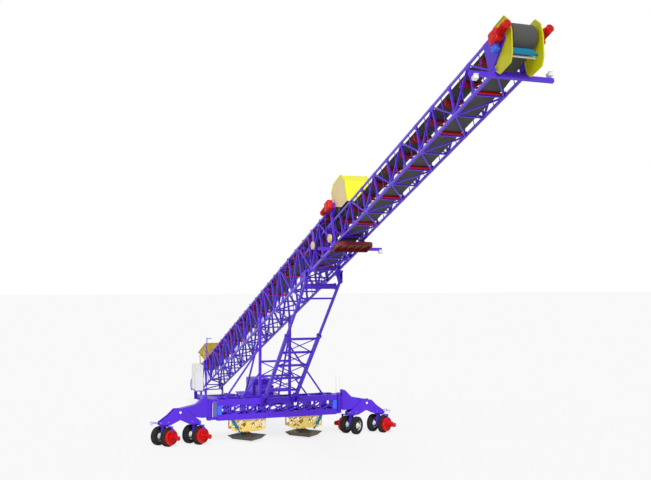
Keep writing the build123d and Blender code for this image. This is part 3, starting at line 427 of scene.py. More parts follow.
class CONVEYOR_OT_wheels(bpy.types.Operator):
    """Adds the tyres with their lugs, the rims and the wheel drives"""
    bl_idname = "conveyor.wheels"
    bl_label = "Wheels"

    def tyre(self):
        """Tyre with sunk side walls and lugs that alternate across its tread."""
        part = drum(sizes().tyre_radius, 0.25, Matrix(), edge=0.034, sides=48, steps=3)
        work(part, square_to("z"),
             inset(0.03), inset(0.008, -0.006), inset(0.09), inset(0.01, 0.006), inset(0.02),
             inset(0.006, -0.05))
        only(part)
        bpy.ops.object.mode_set(mode="EDIT")
        bpy.ops.mesh.select_all(action="SELECT")
        bpy.ops.mesh.bisect(plane_co=(0, 0, 0), plane_no=(0, 0, 1))
        bpy.ops.object.mode_set(mode="OBJECT")

        def lug(normal, middle):
            step = int(round(math.atan2(middle.y, middle.x) * 24 / math.pi - 0.5)) + (middle.z > 0)
            return abs(normal.z) < 0.1 and middle.xy.length > 0.4 and step % 2 == 0

        return work(part, lug, inset(0.006, sizes().lug_height, each=True))

    def rim(self):
        """Dished rim with its ring of nuts."""
        part = drum(0.268, 0.232, Matrix(), edge=0.006, sides=40)
        work(part, square_to("z"),
             inset(0.016), inset(0.012, -0.05), inset(0.035, -0.012), inset(0.05, 0.022), inset(0.02),
             inset(0.012, 0.05), inset(0.03), inset(0.008, 0.014))
        nut = bolt(0.013, 0.03)
        nuts = copies(nut, [place @ move(0, 0, z) for place in round_of(10, 0.165) for z in (-0.068, 0.068)])
        return joined([part, *nuts])

    def drive(self):
        """Round gearbox with ribs, hub, finned motor and cowl."""
        case = drum(0.372, 0.15, move(0, 0, 0.54), edge=0.014, sides=48, steps=2)
        work(case, lambda normal, middle: normal.z > 0.99,
             inset(0.045), inset(0.012, -0.018), inset(0.10), inset(0.02, 0.05), inset(0.03))
        bolts = copies(bolt(0.014, 0.024), [place @ move(0, 0, 0.624) for place in round_of(18, 0.35)])
        ribs = copies(block(0.12, 0.018, 0.04, Matrix(), 0.004),
                      [place @ move(0, 0, 0.605) for place in round_of(12, 0.255, 0.13)])
        hub = drum(0.15, 0.12, move(0, 0, 0.66), edge=0.012, sides=32)
        motor = drum(0.098, 0.32, move(0, 0, 0.86), edge=0.008, sides=32)
        fins = copies(drum(0.112, 0.009, Matrix(), edge=0.002, sides=32),
                      [move(0, 0, 0.74 + 0.027 * k) for k in range(9)])
        cowl = drum(0.114, 0.075, move(0, 0, 1.02), edge=0.014, sides=32, steps=2)
        work(cowl, lambda normal, middle: normal.z > 0.99, inset(0.02), inset(0.006, -0.01))
        lid = block(0.10, 0.09, 0.11, move(0, 0.12, 0.86), 0.008)
        return joined([case, *bolts, *ribs, hub, motor, *fins, cowl, lid])

    def execute(self, context):
        tyre, rim, drive = self.tyre(), self.rim(), self.drive()
        for side, name, y in modules:
            way = -1 if (side, name) == ("left", "inner") else 1
            pair = [on_axle(y, 1, -0.33), on_axle(y, 1, 0.33)]
            label = f"{side}_{name}"
            finished(f"tread_{label}", f"wheels_{label}", "tyre_rubber",
                     copies(tyre, pair, keep=True), [f"tyres_{label}"])
            axle = drum(0.06, 1.03, on_axle(y), sides=24)
            finished(f"rims_{label}", f"wheels_{label}", "cabinet_white",
                     [*copies(rim, pair, keep=True), axle], [f"wheel_hubs_{label}"])
            finished(f"gearbox_{label}", f"steer_{label}", "drive_red",
                     copies(drive, [on_axle(y, way)], keep=True), [f"wheel_drive_{label}"])
        for part in (tyre, rim, drive):
            bpy.data.objects.remove(part)
        return {"FINISHED"}


def idler_set(half_span):
    """Three troughed rolls on their bar, in the boom's own directions."""
    tilt = math.radians(30)
    radius = sizes().idler_radius
    parts = [block(0.07, half_span * 2, 0.055, move(0, 0, 0.04), 0.008),
             drum(radius, 0.236, move(0, 0, 0.148) @ across, edge=0.008, sides=16)]
    for sign in both:
        y, z = sign * (0.1275 + 0.118 * math.cos(tilt)), 0.148 + 0.118 * math.sin(tilt)
        parts.append(drum(radius, 0.212, move(0, y, z) @ Matrix.Rotation(sign * tilt, 4, "X") @ across,
                          edge=0.008, sides=16))
        parts.append(block(0.05, 0.010, 0.10, move(0, sign * 0.1285, 0.105), 0.003))
        parts.append(block(0.05, 0.012, 0.20, move(0, sign * 0.345, 0.16), 0.003))
        parts.append(drum(0.012, 0.024, move(0, sign * (half_span - 0.05), 0.075), edge=0.003, sides=6))
    return joined(parts)


class CONVEYOR_OT_rolls(bpy.types.Operator):
    """Adds the carrying idlers and the return rollers of both booms"""
    bl_idname = "conveyor.rolls"
    bl_label = "Rolls"

    def execute(self, context):
        for boom, start, count, rise, half in (
            ("outer", 0.15, 22, 1.67, 0.66), ("inner", 23.13, 14, 0.82, 0.469)
        ):
            places = [on_boom(start + 1.18 * k, rise) for k in range(count)]
            finished(f"{boom}_troughed_idlers", f"{boom}_boom", "idler_red",
                     copies(idler_set(half), places), [f"{boom}_carrying_idlers"])
        for boom, start, pitch, last, rise, half in (
            ("outer", -0.35, 1.48, 17, 1.330, 0.57), ("inner", 22.03, 1.23, 13, 0.2137, 0.469)
        ):
            roll = [drum(sizes().idler_radius, half * 2 - 0.05, across, edge=0.010, sides=24)]
            for sign in both:
                roll.append(drum(0.022, 0.05, move(0, sign * (half - 0.025), 0) @ across,
                                 edge=0.004, sides=16))
                roll.append(block(0.11, 0.012, 0.12, move(0, sign * (half - 0.012), 0), 0.006))
            places = [on_boom(start + pitch * k, rise) for k in range(1, last + 1, 2)]
            finished(f"{boom}_return_rolls", f"{boom}_boom", "drive_red",
                     copies(joined(roll), places), [f"{boom}_return_rollers"])
        return {"FINISHED"}


def pulley(radius, half_face, half_shaft, place, bearings=True):
    """Welded pulley: shell, sunk end discs, hubs, shaft and bearing blocks."""
    shell = drum(radius, half_face * 2, across, edge=0.010, sides=48)
    work(shell, square_to("y"),
         inset(0.014), inset(0.006, -0.05), inset(radius * 0.45), inset(0.008, 0.035))
    parts = [shell, drum(0.045, half_shaft * 2, across, edge=0.006, sides=24)]
    if bearings:
        for sign in both:
            parts.append(block(0.22, 0.07, 0.10, move(0, sign * (half_shaft - 0.05), -0.02), 0.02, 2))
            parts.append(drum(0.075, 0.075, move(0, sign * (half_shaft - 0.05), 0) @ across,
                              edge=0.012, sides=24))
    for part in parts:
        part.data.transform(place)
    return parts


def geared_motor(case, motor_radius, motor_length, side):
    """Bevel gearbox with its motor along the boom and a bolted cover on its outer side."""
    length, breadth, height = case
    box = block(length, breadth, height, Matrix(), 0.05, 3)
    work(box, square_to("xz"), inset(0.02, 0.0, True),
         inset(0.008, -0.010, True))
    face = move(-0.03, side * (breadth / 2 + 0.005), 0) @ across
    cover = drum(height * 0.36, 0.03, face, edge=0.006, sides=32)
    bolts = copies(drum(0.010, 0.045, Matrix(), edge=0.002, sides=6),
                   [face @ place for place in round_of(10, height * 0.31)])
    far = length / 2
    flange = drum(motor_radius * 1.08, 0.03, move(far + 0.01, 0, 0) @ lengthwise, edge=0.004, sides=32)
    motor = drum(motor_radius * 0.86, motor_length, move(far + motor_length / 2, 0, 0) @ lengthwise,
                 edge=0.01, sides=32)
    fins = copies(drum(motor_radius, 0.008, Matrix(), edge=0.002, sides=32),
                  [move(far + 0.06 + 0.028 * k, 0, 0) @ lengthwise
                   for k in range(int((motor_length - 0.16) / 0.028))])
    cowl = drum(motor_radius, 0.09, move(far + motor_length - 0.045, 0, 0) @ lengthwise, edge=0.014, sides=32)
    lid = block(0.13, 0.10, 0.05, move(far + motor_length * 0.4, 0, motor_radius), 0.008)
    return joined([box, cover, *bolts, flange, motor, *fins, cowl, lid])


class CONVEYOR_OT_drives(bpy.types.Operator):
    """Adds the pulleys, the geared motors, the torque arms and the telescope's guide wheels"""
    bl_idname = "conveyor.drives"
    bl_label = "Pulleys and drives"

    def execute(self, context):
        finished("outer_drums", "outer_boom", "dark_steel",
                 [*pulley(0.2345, 0.395, 0.72, on_boom(-0.5, 1.636)),
                  *pulley(0.2345, 0.395, 0.72, on_boom(26.55, 1.636), False)], ["outer_pulleys"])
        finished("inner_drums", "inner_boom", "dark_steel",
                 [*pulley(0.3675, 0.395, 0.469, on_boom(22.49, 0.653), False),
                  *pulley(0.3685, 0.395, 0.69, on_boom(*head_drum), False)], ["inner_pulleys"])
        head = [copies(geared_motor((0.42, 0.25, 0.38), 0.118, 0.46, sign),
                       [on_boom(39.84, 0.88, sign * 0.677)])[0] for sign in both]
        finished("head_gear_motors", "inner_boom", "drive_red", head, ["head_drives"])
        turned = on_boom(26.51, 1.66, -0.79) @ Matrix.Rotation(math.pi, 4, "Z")
        arms = []
        for side, reach in ((-1, 0.20), (1, 0.10)):
            rise = 0.70 - reach / 2
            arms.append(block(0.24, 0.15, reach, on_boom(39.70, rise, side * 0.665), 0.012, 2))
            arms += copies(bolt(0.016, 0.17),
                           [on_boom(39.70 + x, rise, side * 0.665) @ across for x in (-0.07, 0.07)])
        finished("torque_arms", "inner_boom", "plate_blue", arms)
        wheels = []
        for side in both:
            for s, n in ((26.05, 0.42), (24.02, 0.90)):
                wheel = drum(sizes().guide_radius, 0.09, across, edge=0.012, sides=32)
                work(wheel, square_to("y"), inset(0.03), inset(0.006, -0.02),
                     inset(0.06), inset(0.006, 0.025))
                studs = copies(bolt(0.012, 0.10), [across @ place for place in round_of(8, 0.115)])
                part = joined([wheel, *studs, drum(0.035, 0.16, across, edge=0.005, sides=16)])
                part.data.transform(on_boom(s, n, side * 0.725))
                wheels.append(part)
        carriers = [block(0.22, 0.022, high - low, on_boom(s, (low + high) / 2, side * 0.671), 0.006)
                    for side in both for s, low, high in ((26.05, 0.0, 0.58), (24.02, 0.74, 1.66))]
        finished("guide_wheel_plates", "outer_boom", "frame_purple", carriers)
        finished("telescope_guide_wheels", "outer_boom", "hood_peach", wheels)
        finished("outer_gear_motor", "outer_boom", "drive_red",
                 copies(geared_motor((0.46, 0.24, 0.40), 0.125, 0.52, 1), [turned]), ["outer_belt_drive"])
        return {"FINISHED"}


class CONVEYOR_OT_boxes(bpy.types.Operator):
    """Adds the cabinets, the power pack, the cable reel and the lamps"""
    bl_idname = "conveyor.boxes"
    bl_label = "Cabinets, reel and lamps"

    def cabinet(self, x):
        """Cabinet with roof, plinth, slats, hinges and lever."""
        body = block(0.70, 0.45, 1.58, move(x + 0.35, -1.375, 1.90), 0.008)
        work(body, square_to("y"), inset(0.035), inset(0.004, -0.008), inset(0.006, 0.014))
        work(body, square_to("x"), inset(0.06), inset(0.006, -0.010))
        roof = block(0.70, 0.45, 0.035, move(x + 0.35, -1.375, 2.70), 0.008)
        plinth = block(0.66, 0.41, 0.06, move(x + 0.35, -1.375, 1.11), 0.004)
        slats = copies(block(0.012, 0.26, 0.012, Matrix(), 0.003),
                       [move(x + 0.69, -1.375, z) for z in (2.30, 2.33, 2.36, 2.39, 2.42, 2.45)])
        hinges = copies(drum(0.012, 0.09, Matrix(), edge=0.003, sides=12),
                        [move(x + 0.045, -1.598, z) for z in (1.35, 1.90, 2.45)])
        lever = block(0.025, 0.02, 0.16, move(x + 0.62, -1.60, 1.90), 0.006)
        return [body, roof, plinth, *slats, *hinges, lever]

    def pack(self, near, far, half, top):
        """Engine box with slatted ends and a lid."""
        body = block(far - near, half * 2, top - 1.93, move((near + far) / 2, 0, (top + 1.93) / 2), 0.02, 2)
        work(body, square_to("y"), inset(0.05), inset(0.006, -0.012))
        work(body, square_to("x"), inset(0.05), inset(0.006, -0.012))
        rows = int((top - 1.93 - 0.2) / 0.045)
        slats = copies(block(0.010, half * 2 - 0.16, 0.014, Matrix.Rotation(0.6, 4, "Y"), 0.003),
                       [move(x, 0, 2.03 + 0.045 * k) for k in range(rows)
                        for x in (near + 0.004, far - 0.004)])
        lid = block(far - near, half * 2, 0.03, move((near + far) / 2, 0, top - 0.012), 0.01)
        return [body, *slats, lid]

    def lamp(self, place):
        """Floodlight with visor and lens."""
        box = block(0.16, 0.15, 0.12, place, 0.014, 2)
        visor = block(0.05, 0.16, 0.012, place @ move(0.09, 0, 0.06), 0.003)
        lens = block(0.012, 0.12, 0.09, place @ move(0.082, 0, 0), 0.004)
        return [box, visor, lens]

    def execute(self, context):
        finished("cabinets", "chassis", "cabinet_white",
                 [*self.cabinet(1.15), *self.cabinet(1.90)], ["control_cabinets"])
        finished("engine_boxes", "chassis", "frame_purple",
                 [*self.pack(10.7, 12.05, 0.52, 2.78), *self.pack(12.15, 12.85, 0.43, 2.5)], ["power_pack"])
        centre = placed((-0.15, -1.25, 1.18), (0, 1, 0))
        turns = []
        for layer in range(4):
            bpy.ops.object.select_all(action="DESELECT")
            bpy.ops.mesh.primitive_torus_add(major_segments=48, minor_segments=8, major_radius=0.33,
                                             minor_radius=0.019)
            turns.append(bpy.context.object)
            turns[-1].data.transform(centre @ move(0, 0, -0.057 + 0.038 * layer))
        core = drum(0.325, 0.15, centre, edge=0.004, sides=40)
        finished("reel_cable", "chassis", "tyre_rubber", [core, *turns])
        flanges = []
        for z in (-0.088, 0.088):
            disc = drum(0.395, 0.014, centre @ move(0, 0, z), edge=0.003, sides=48)
            flanges.append(disc)
        flanges.append(drum(0.13, 0.20, centre, edge=0.012, sides=32))
        flanges += copies(block(0.22, 0.03, 0.19, Matrix(), 0.004),
                          [centre @ place for place in round_of(6, 0.24)])
        finished("reel_flanges", "chassis", "plate_blue", flanges, ["cable_reel"])
        finished("head_floodlights", "inner_boom", "cabinet_white",
                 [*self.lamp(on_boom(39.22, 0.227, 1.315)), *self.lamp(on_boom(39.21, -0.076, -1.17))],
                 ["head_lamps"])
        finished("outer_floodlight", "outer_boom", "cabinet_white",
                 self.lamp(on_boom(26.11, -0.175, 1.43)), ["outer_lamp"])
        return {"FINISHED"}


def plate(outline, thick, place, edge=0.003):
    """Flat plate of an outline, half its thickness on each side of it."""
    mesh = bpy.data.meshes.new("plate")
    mesh.from_pydata([(a, b, 0) for a, b in outline], [], [range(len(outline))])
    part = bpy.data.objects.new("plate", mesh)
    bpy.context.collection.objects.link(part)
    only(part)
    wall = part.modifiers.new("wall", "SOLIDIFY")
    wall.thickness = thick
    wall.offset = 0
    bpy.ops.object.modifier_apply(modifier="wall")
    bpy.ops.object.mode_set(mode="EDIT")
    bpy.ops.mesh.select_all(action="SELECT")
    bpy.ops.mesh.normals_make_consistent(inside=False)
    bpy.ops.object.mode_set(mode="OBJECT")
    soften(part, edge, 1)
    part.data.transform(place)
    return part


def strut(start, end, breadth, height, edge=0.004):
    """Bar from one point to another, its breadth level."""
    start, end = Vector(start), Vector(end)
    turn = (end - start).to_track_quat("X", "Z").to_matrix().to_4x4()
    return block((end - start).length, breadth, height, Matrix.Translation((start + end) / 2) @ turn, edge)


def upright(x):
    """Matrix for an outline of side and height that stands across the machine at x."""
    return Matrix(((0, 0, 1, x), (1, 0, 0, 0), (0, 1, 0, 0), (0, 0, 0, 1)))


def bolt(radius=0.014, height=0.016):
    """Head of a bolt."""
    return drum(radius, height, Matrix(), edge=0.003, sides=6)


class CONVEYOR_OT_gussets(bpy.types.Operator):
    """Adds the bolted plates at the booms' panel points and the chord splices"""
    bl_idname = "conveyor.gussets"
    bl_label = "Gussets and splices"

    def plates(self, size, thick):
        """One gusset with its bolts."""
        outline = [(-size, -0.09), (size, -0.09), (size * 0.55, 0.11), (-size * 0.55, 0.11)]
        parts = [plate(outline, thick, across)]
        parts += copies(bolt(0.013, thick + 0.010), [
            move(x, 0, z) @ across for x, z in ((-size * 0.72, -0.055), (size * 0.72, -0.055),
                                                (-size * 0.36, 0.06), (size * 0.36, 0.06), (0, -0.01))])
        return joined(parts)

    def execute(self, context):
        over = Matrix.Rotation(math.pi, 4, "X")
        places = []
        for k in range(19):
            for side in (-0.664, 0.664):
                if k:
                    places.append(on_boom(outer_panel(k), 0.10, side))
                places.append(on_boom(outer_panel(k), 1.57, side) @ over)
        splices = copies(block(0.5, 0.010, 0.07, Matrix(), 0.003),
                         [on_boom(outer_panel(k), rise, side) for k in (6.5, 12.5) for rise in (0.045, 1.625)
                          for side in (-0.665, 0.665)])
        studs = copies(bolt(0.012, 0.022),
                       [on_boom(outer_panel(k) + x, rise, side) @ across for k in (6.5, 12.5)
                        for rise in (0.045, 1.625) for side in (-0.665, 0.665)
                        for x in (-0.2, -0.13, -0.06, 0.06, 0.13, 0.2)])
        finished("outer_boom_gussets", "outer_boom", "frame_purple",
                 [*copies(self.plates(0.17, 0.010), places), *splices, *studs])
        places = []
        for k in range(15):
            for side in (-0.538, 0.538):
                places.append(on_boom(inner_panel(k), 0.20, side))
                places.append(on_boom(inner_panel(k), 1.10, side) @ over)
        finished("inner_boom_gussets", "inner_boom", "frame_purple",
                 copies(self.plates(0.13, 0.006), places))
        return {"FINISHED"}


arm_outline = [(3.60, 1.29), (3.60, 2.33), (3.76, 2.35), (4.15, 1.96), (5.00, 1.79), (5.11, 1.62),
               (5.00, 1.45), (4.56, 1.40), (3.90, 1.29)]
rocker_outline = [(4.70, 1.78), (5.25, 1.78), (5.56, 1.48), (6.01, 1.16), (6.01, 1.01), (5.47, 1.01),
                  (pin_side, 1.25), (4.48, 1.01), (3.94, 1.01), (3.94, 1.16), (4.39, 1.48)]


class CONVEYOR_OT_webs(bpy.types.Operator):
    """Adds the round chord tubes, the chord strips, the thin webs and the deep beam between the legs; the tubes
    and strips are painted a paler lavender as a painted highlight
    """
    bl_idname = "conveyor.webs"
    bl_label = "Chords and webs"

    def execute(self, context):
        # Painted highlight: the inner chord tubes take the paler lavender for the light on their tops.
        tubes = [drum(sizes().chord_radius, 17.2, on_boom(30.64, rise, side) @ lengthwise,
                      edge=0.004, sides=20)
                 for rise in (0.159, 1.154) for side in (-0.502, 0.502)]
        finished("inner_chord_tubes", "inner_boom", "chord_lavender", tubes)
        # Painted highlight: thin lavender strips on the outer chords stand in for the light on their flat tops.
        highlight_strips = [block(26.56, 0.006, 0.084, on_boom(12.97, rise, side), 0.002)
                  for rise in (0.045, 1.625) for side in (-0.661, 0.661)]
        finished("outer_chord_strips", "outer_boom", "chord_lavender", highlight_strips)
        outer = [strut(spot(outer_panel(k + 0.5), 0.08, side),
                       spot(outer_panel(k + 0.5), 1.59, side), sizes().outer_web, sizes().outer_web)
                 for k in range(18) for side in (-0.625, 0.625)]
        finished("outer_thin_webs", "outer_boom", "frame_purple", outer)
        inner = [strut(spot(inner_panel(k + 0.5), 0.17, side),
                       spot(inner_panel(k + 0.5), 1.13, side), sizes().inner_web, sizes().inner_web)
                 for k in range(14) for side in (-0.505, 0.505)]
        finished("inner_thin_webs", "inner_boom", "frame_purple", inner)
        beam = [strut((21.42, -0.72, 7.86), (21.42, 0.72, 7.86), 0.12, sizes().leg_beam_height, 0.01)]
        beam += [block(0.16, 0.03, 0.30, move(21.42, side * 0.66, 7.86), 0.006) for side in both]
        finished("leg_top_beam", "lift_leg_inner", "frame_purple", beam)
        return {"FINISHED"}


class CONVEYOR_OT_arms(bpy.types.Operator):
    """Adds the swinging arms, rocker beams, pin caps, hooks, sensor rods and blue plates"""
    bl_idname = "conveyor.arms"
    bl_label = "Arms and rockers"

    def arm(self, side):
        """Box arm on its knuckle drum."""
        outline = [(side * y, z) for y, z in arm_outline]
        parts = [drum(0.149, 0.81, on_beam(side * knuckle_side, 1.663), edge=0.008, sides=40),
                 block(0.30, 0.17, 0.64, on_beam(side * 3.64, 1.72), 0.006)]
        for x in (-0.17, 0.17):
            parts.append(plate(outline, 0.04, upright(beam_x + x), 0.006))
        for near, far in (((3.78, 2.32), (4.14, 1.955)), ((4.17, 1.94), (4.98, 1.78)),
                          ((4.98, 1.465), (4.58, 1.415)), ((4.54, 1.41), (3.92, 1.305))):
            start, end = ((beam_x, side * y, z) for y, z in (near, far))
            parts.append(strut(start, end, 0.31, 0.022))
        for z in (1.40, 2.12):
            parts.append(block(0.36, 0.05, 0.05, on_beam(side * 3.66, z), 0.006))
        return parts

    def rocker(self, side):
        """Rocker plates with their pin, carriages and hooks."""
        outline = [(side * y, z) for y, z in rocker_outline]
        parts = [plate(outline, 0.036, upright(beam_x + x), 0.006) for x in (-0.237, 0.237)]
        pin = on_beam(side * pin_side, pin_height) @ lengthwise
        parts.append(drum(0.055, 0.55, pin, edge=0.006, sides=24))
        for x in (-0.245, 0.245):
            pin = on_beam(side * pin_side, pin_height, x) @ lengthwise
            parts.append(drum(0.12, 0.05, pin, edge=0.008, sides=32))
        for y in leg_sides.values():
            parts.append(block(0.51, 0.50, 0.04, on_beam(side * y, 1.03), 0.008))
            parts += [block(0.44, 0.018, 0.12, on_beam(side * (y + shift), 1.10), 0.004)
                      for shift in (-0.2, 0.2)]
        for x in (-0.2, 0.2):
            hook = [(beam_x + x, side * y, z) for y, z in ((5.94, 1.09), (6.24, 1.16), (6.36, 1.16))]
            parts += [strut(near, far, 0.026, 0.026) for near, far in zip(hook, hook[1:])]
            parts.append(block(0.02, 0.02, 0.16, on_beam(side * 6.35, 1.10, x), 0.003))
        return parts

    def execute(self, context):
        for side, name in names.items():
            finished(f"arm_box_{name}", f"arm_{name}", "frame_purple",
                     self.arm(side), [f"swing_arm_{name}"])
            finished(f"rocker_plates_{name}", f"arm_{name}", "frame_purple",
                     self.rocker(side), [f"rocker_beam_{name}"])
            caps = []
            for x in (-0.285, 0.285):
                pin = on_beam(side * pin_side, pin_height, x) @ lengthwise
                caps.append(drum(0.062, 0.03, pin, edge=0.008, sides=24))
            caps += copies(bolt(0.016, 0.05), [on_beam(side * y, 1.16, x) @ lengthwise for x in (-0.26, 0.26)
                                               for y in (4.02, 4.38, 5.57, 5.93)])
            finished(f"pin_caps_{name}", f"arm_{name}", "cabinet_white", caps)
        knuckles = []
        for side in both:
            for z in (2.185, 1.135):
                knuckles.append(drum(0.11, 0.034, on_beam(side * knuckle_side, z), edge=0.01, sides=32))
                knuckles += copies(bolt(0.014, 0.05), [on_beam(side * knuckle_side, z) @ place
                                                       for place in round_of(6, 0.08)])
        finished("knuckle_caps", "chassis", "dark_steel", knuckles)
        blue = [block(0.018, 0.22, 0.44, move(15.108, side * 3.06, 1.66), 0.004) for side in both]
        for side in both:
            blue += copies(bolt(0.013, 0.03), [move(15.112, side * 3.06 + y, 1.66 + z) @ lengthwise
                                               for y in (-0.085, 0.085) for z in (-0.18, -0.06, 0.06, 0.18)])
        finished("beam_end_plates", "chassis", "plate_blue", blue)
        rods = [drum(0.012, 0.85, on_beam(3.42 + y, 2.595, x), edge=0.003, sides=12)
                for x, y in ((-0.06, -0.07), (0.06, 0.10))]
        rods += [drum(0.024, 0.10, on_beam(3.42 + y, 2.22, x), edge=0.004, sides=16)
                 for x, y in ((-0.06, -0.07), (0.06, 0.10))]
        finished("sensor_rods", "chassis", "cabinet_white", rods)
        return {"FINISHED"}


class CONVEYOR_OT_feet(bpy.types.Operator):
    """Adds the struts, bolts and cylinders of the yellow feet and the ribs of their pads"""
    bl_idname = "conveyor.feet"
    bl_label = "Feet"

    def execute(self, context):
        struts, cylinders = [], []
        for side in both:
            y = side * foot_side
            for x in (-0.37, 0.37):
                for way in both:
                    for top, low, height in (((0.84, 1.08), (0.16, 0.58), 0.07),
                                             ((0.50, 1.10), (0.50, 0.56), 0.05)):
                        ends = [(beam_x + x, y + way * reach, z) for reach, z in (top, low)]
                        struts.append(strut(*ends, 0.03, height))
                    gusset = [(y + way * shift, z) for shift, z in ((0.14, 0.54), (0.14, 0.86), (0.46, 0.54))]
                    struts.append(plate(gusset, 0.02, upright(beam_x + x)))
                struts += copies(bolt(0.018, 0.05), [on_beam(y + shift, z, x) @ lengthwise
                                                     for shift in (-0.84, -0.5, -0.16, 0.16, 0.5, 0.84)
                                                     for z in (0.60, 1.11)])
            struts += [strut((14.24, y + way * 0.72, 0.66), (14.96, y + way * 0.72, 0.66), 0.05, 0.07)
                       for way in both]
            struts.append(drum(0.13, 0.10, on_beam(y, 0.47), edge=0.012, sides=32))
            top, low = Vector((15.0, side * 2.36, 1.10)), Vector((15.0, side * 1.98, 0.50))
            run = low - top
            cylinders.append(drum(0.075, 0.40, placed(top + run * 0.36, run), edge=0.012, sides=24))
            cylinders.append(drum(0.026, 0.30, placed(top + run * 0.80, run), edge=0.004, sides=16))
            for end in (top, low):
                cylinders.append(drum(0.045, 0.09, Matrix.Translation(end) @ lengthwise,
                                      edge=0.006, sides=20))
                struts.append(block(0.10, 0.05, 0.12, Matrix.Translation(end + Vector((-0.07, 0, 0))), 0.006))
        finished("foot_struts", "chassis", "foot_yellow", struts)
        finished("foot_cylinders", "chassis", "teal", cylinders)
        for side, name in names.items():
            centre = on_beam(side * foot_side, 0.285) @ Matrix.Rotation(math.radians(40), 4, "Z")
            ribs = [plate([(0.07, 0), (0.50, 0), (0.42, 0.04), (0.10, 0.16), (0.07, 0.16)], 0.02,
                          centre @ Matrix.Rotation(math.radians(90 * k), 4, "Z") @ across) for k in range(4)]
            ribs += copies(bolt(0.022, 0.03),
                           [centre @ move(x, y, 0.012) for x in (-0.62, 0.62) for y in (-0.46, 0.46)])
            finished(f"pad_ribs_{name}", f"foot_{name}", "pad_grey", ribs)
        return {"FINISHED"}


shield_outline = [(39.30, 0.115), (39.30, 0.985), (39.60, 1.36), (40.18, 1.36), (40.36, 1.10), (40.36, 0.74),
                  (40.18, 0.165), (40.02, -0.045), (39.45, -0.045)]
hood_outline = [(26.38, 1.696), (26.38, 2.256), (26.76, 2.536), (27.63, 2.536), (27.94, 2.156), (27.94, 1.29),
                (27.28, 1.29)]


class CONVEYOR_OT_covers(bpy.types.Operator):
    """Adds the head shields, the hood, the hopper's ribs and skirt, the tray's lips and the head pipe"""
    bl_idname = "conveyor.covers"
    bl_label = "Shields, hood and hopper"

    def execute(self, context):
        shields = []
        for side in both:
            sheet = plate(shield_outline, 0.014, across, 0.002)
            work(sheet, square_to("y"), inset(0.035), inset(0.004, -0.0035))
            sheet.data.transform(on_boom(0, 0, side * 0.486))
            shields.append(sheet)
            corners = [spot(s, n, side * 0.502) for s, n in shield_outline]
            shields += [strut(near, far, 0.034, 0.010, 0.002)
                        for near, far in zip(corners, corners[1:] + corners[:1])]
            shields += copies(bolt(0.014, 0.03), [on_boom(*head_drum, side * 0.497) @ across @ place
                                                  for place in round_of(8, 0.17)])
        finished("shield_sheets", "inner_boom", "shield_yellow", shields, ["head_shields"])

        # Painted light: both cheeks are paler than the yellow roof, for the light on the hood's sides.
        cheeks = [plate(hood_outline, 0.010, on_boom(0, 0, side * 0.545) @ across, 0.002) for side in both]
        finished("hood_cheeks", "outer_boom", "hood_peach", cheeks)
        roof = []
        for near, far in zip(hood_outline[1:6], hood_outline[2:6]):
            roof.append(strut(spot(*near), spot(*far), 1.104, 0.012, 0.002))
            for side in (-0.556, 0.556):
                roof.append(strut(spot(*near, side), spot(*far, side), 0.012, 0.08, 0.002))
        for s, n in ((26.95, 2.546), (27.44, 2.546)):
            roof.append(block(0.04, 1.10, 0.03, on_boom(s, n), 0.004))
        lid = block(0.34, 0.5, 0.02, on_boom(27.2, 2.552), 0.006)
        finished("hood_roof", "outer_boom", "hood_yellow", [*roof, lid], ["transfer_hood"])

        low = [(-0.33, -0.26), (1.35, -0.26), (1.35, 0.26), (-0.33, 0.26)]
        high = [(-0.62, -0.62), (1.75, -0.62), (1.75, 0.62), (-0.62, 0.62)]
        base = carry_rise + 0.15
        rim = []
        for k in range(4):
            near, far = high[k], high[(k + 1) % 4]
            rim.append(strut(spot(near[0], base + 0.65, near[1]),
                             spot(far[0], base + 0.65, far[1]), 0.05, 0.05))
            foot_near, foot_far = low[k], low[(k + 1) % 4]
            for share in ((0.12, 0.37, 0.63, 0.88) if k % 2 == 0 else (0.25, 0.75)):
                foot = [a + (b - a) * share for a, b in zip(foot_near, foot_far)]
                head = [a + (b - a) * share for a, b in zip(near, far)]
                rim.append(strut(spot(foot[0], base - 0.015, foot[1]),
                                 spot(head[0], base + 0.62, head[1]), 0.02, 0.045))
        finished("hopper_ribs", "outer_boom", "hopper_yellow", rim)
        skirt = [block(1.66, 0.012, 0.10, on_boom(0.51, base - 0.007, side * 0.245), 0.003) for side in both]
        finished("hopper_skirt", "outer_boom", "tyre_rubber", skirt)
        pipe = [drum(0.032, 0.965, placed((37.47, 0, 14.30), (0, 1, 0)), edge=0.005, sides=20)]
        pipe += [drum(0.05, 0.02, placed((37.47, side * 0.47, 14.30), (0, 1, 0)), edge=0.004, sides=20)
                 for side in both]
        tray = [block(0.66, 0.014, 0.17, on_boom(26.58, -0.170, side * 0.743), 0.003) for side in both]
        tray += [strut(spot(26.90, -0.170, side * 0.743),
                       spot(26.984, -0.170, side * 0.62), 0.014, 0.17, 0.003) for side in both]
        tray += [block(0.014, width, 0.17, on_boom(s, -0.170), 0.003)
                 for s, width in ((26.25, 1.49), (26.984, 1.25))]
        tray += [block(0.72, 0.05, 0.05, on_boom(26.61, -0.135, y), 0.004)
                 for y in (-0.45, -0.15, 0.15, 0.45)]
        finished("tray_lips", "outer_boom", "tray_red", tray)
        finished("head_pipe", "inner_boom", "cabinet_white", pipe)
        return {"FINISHED"}


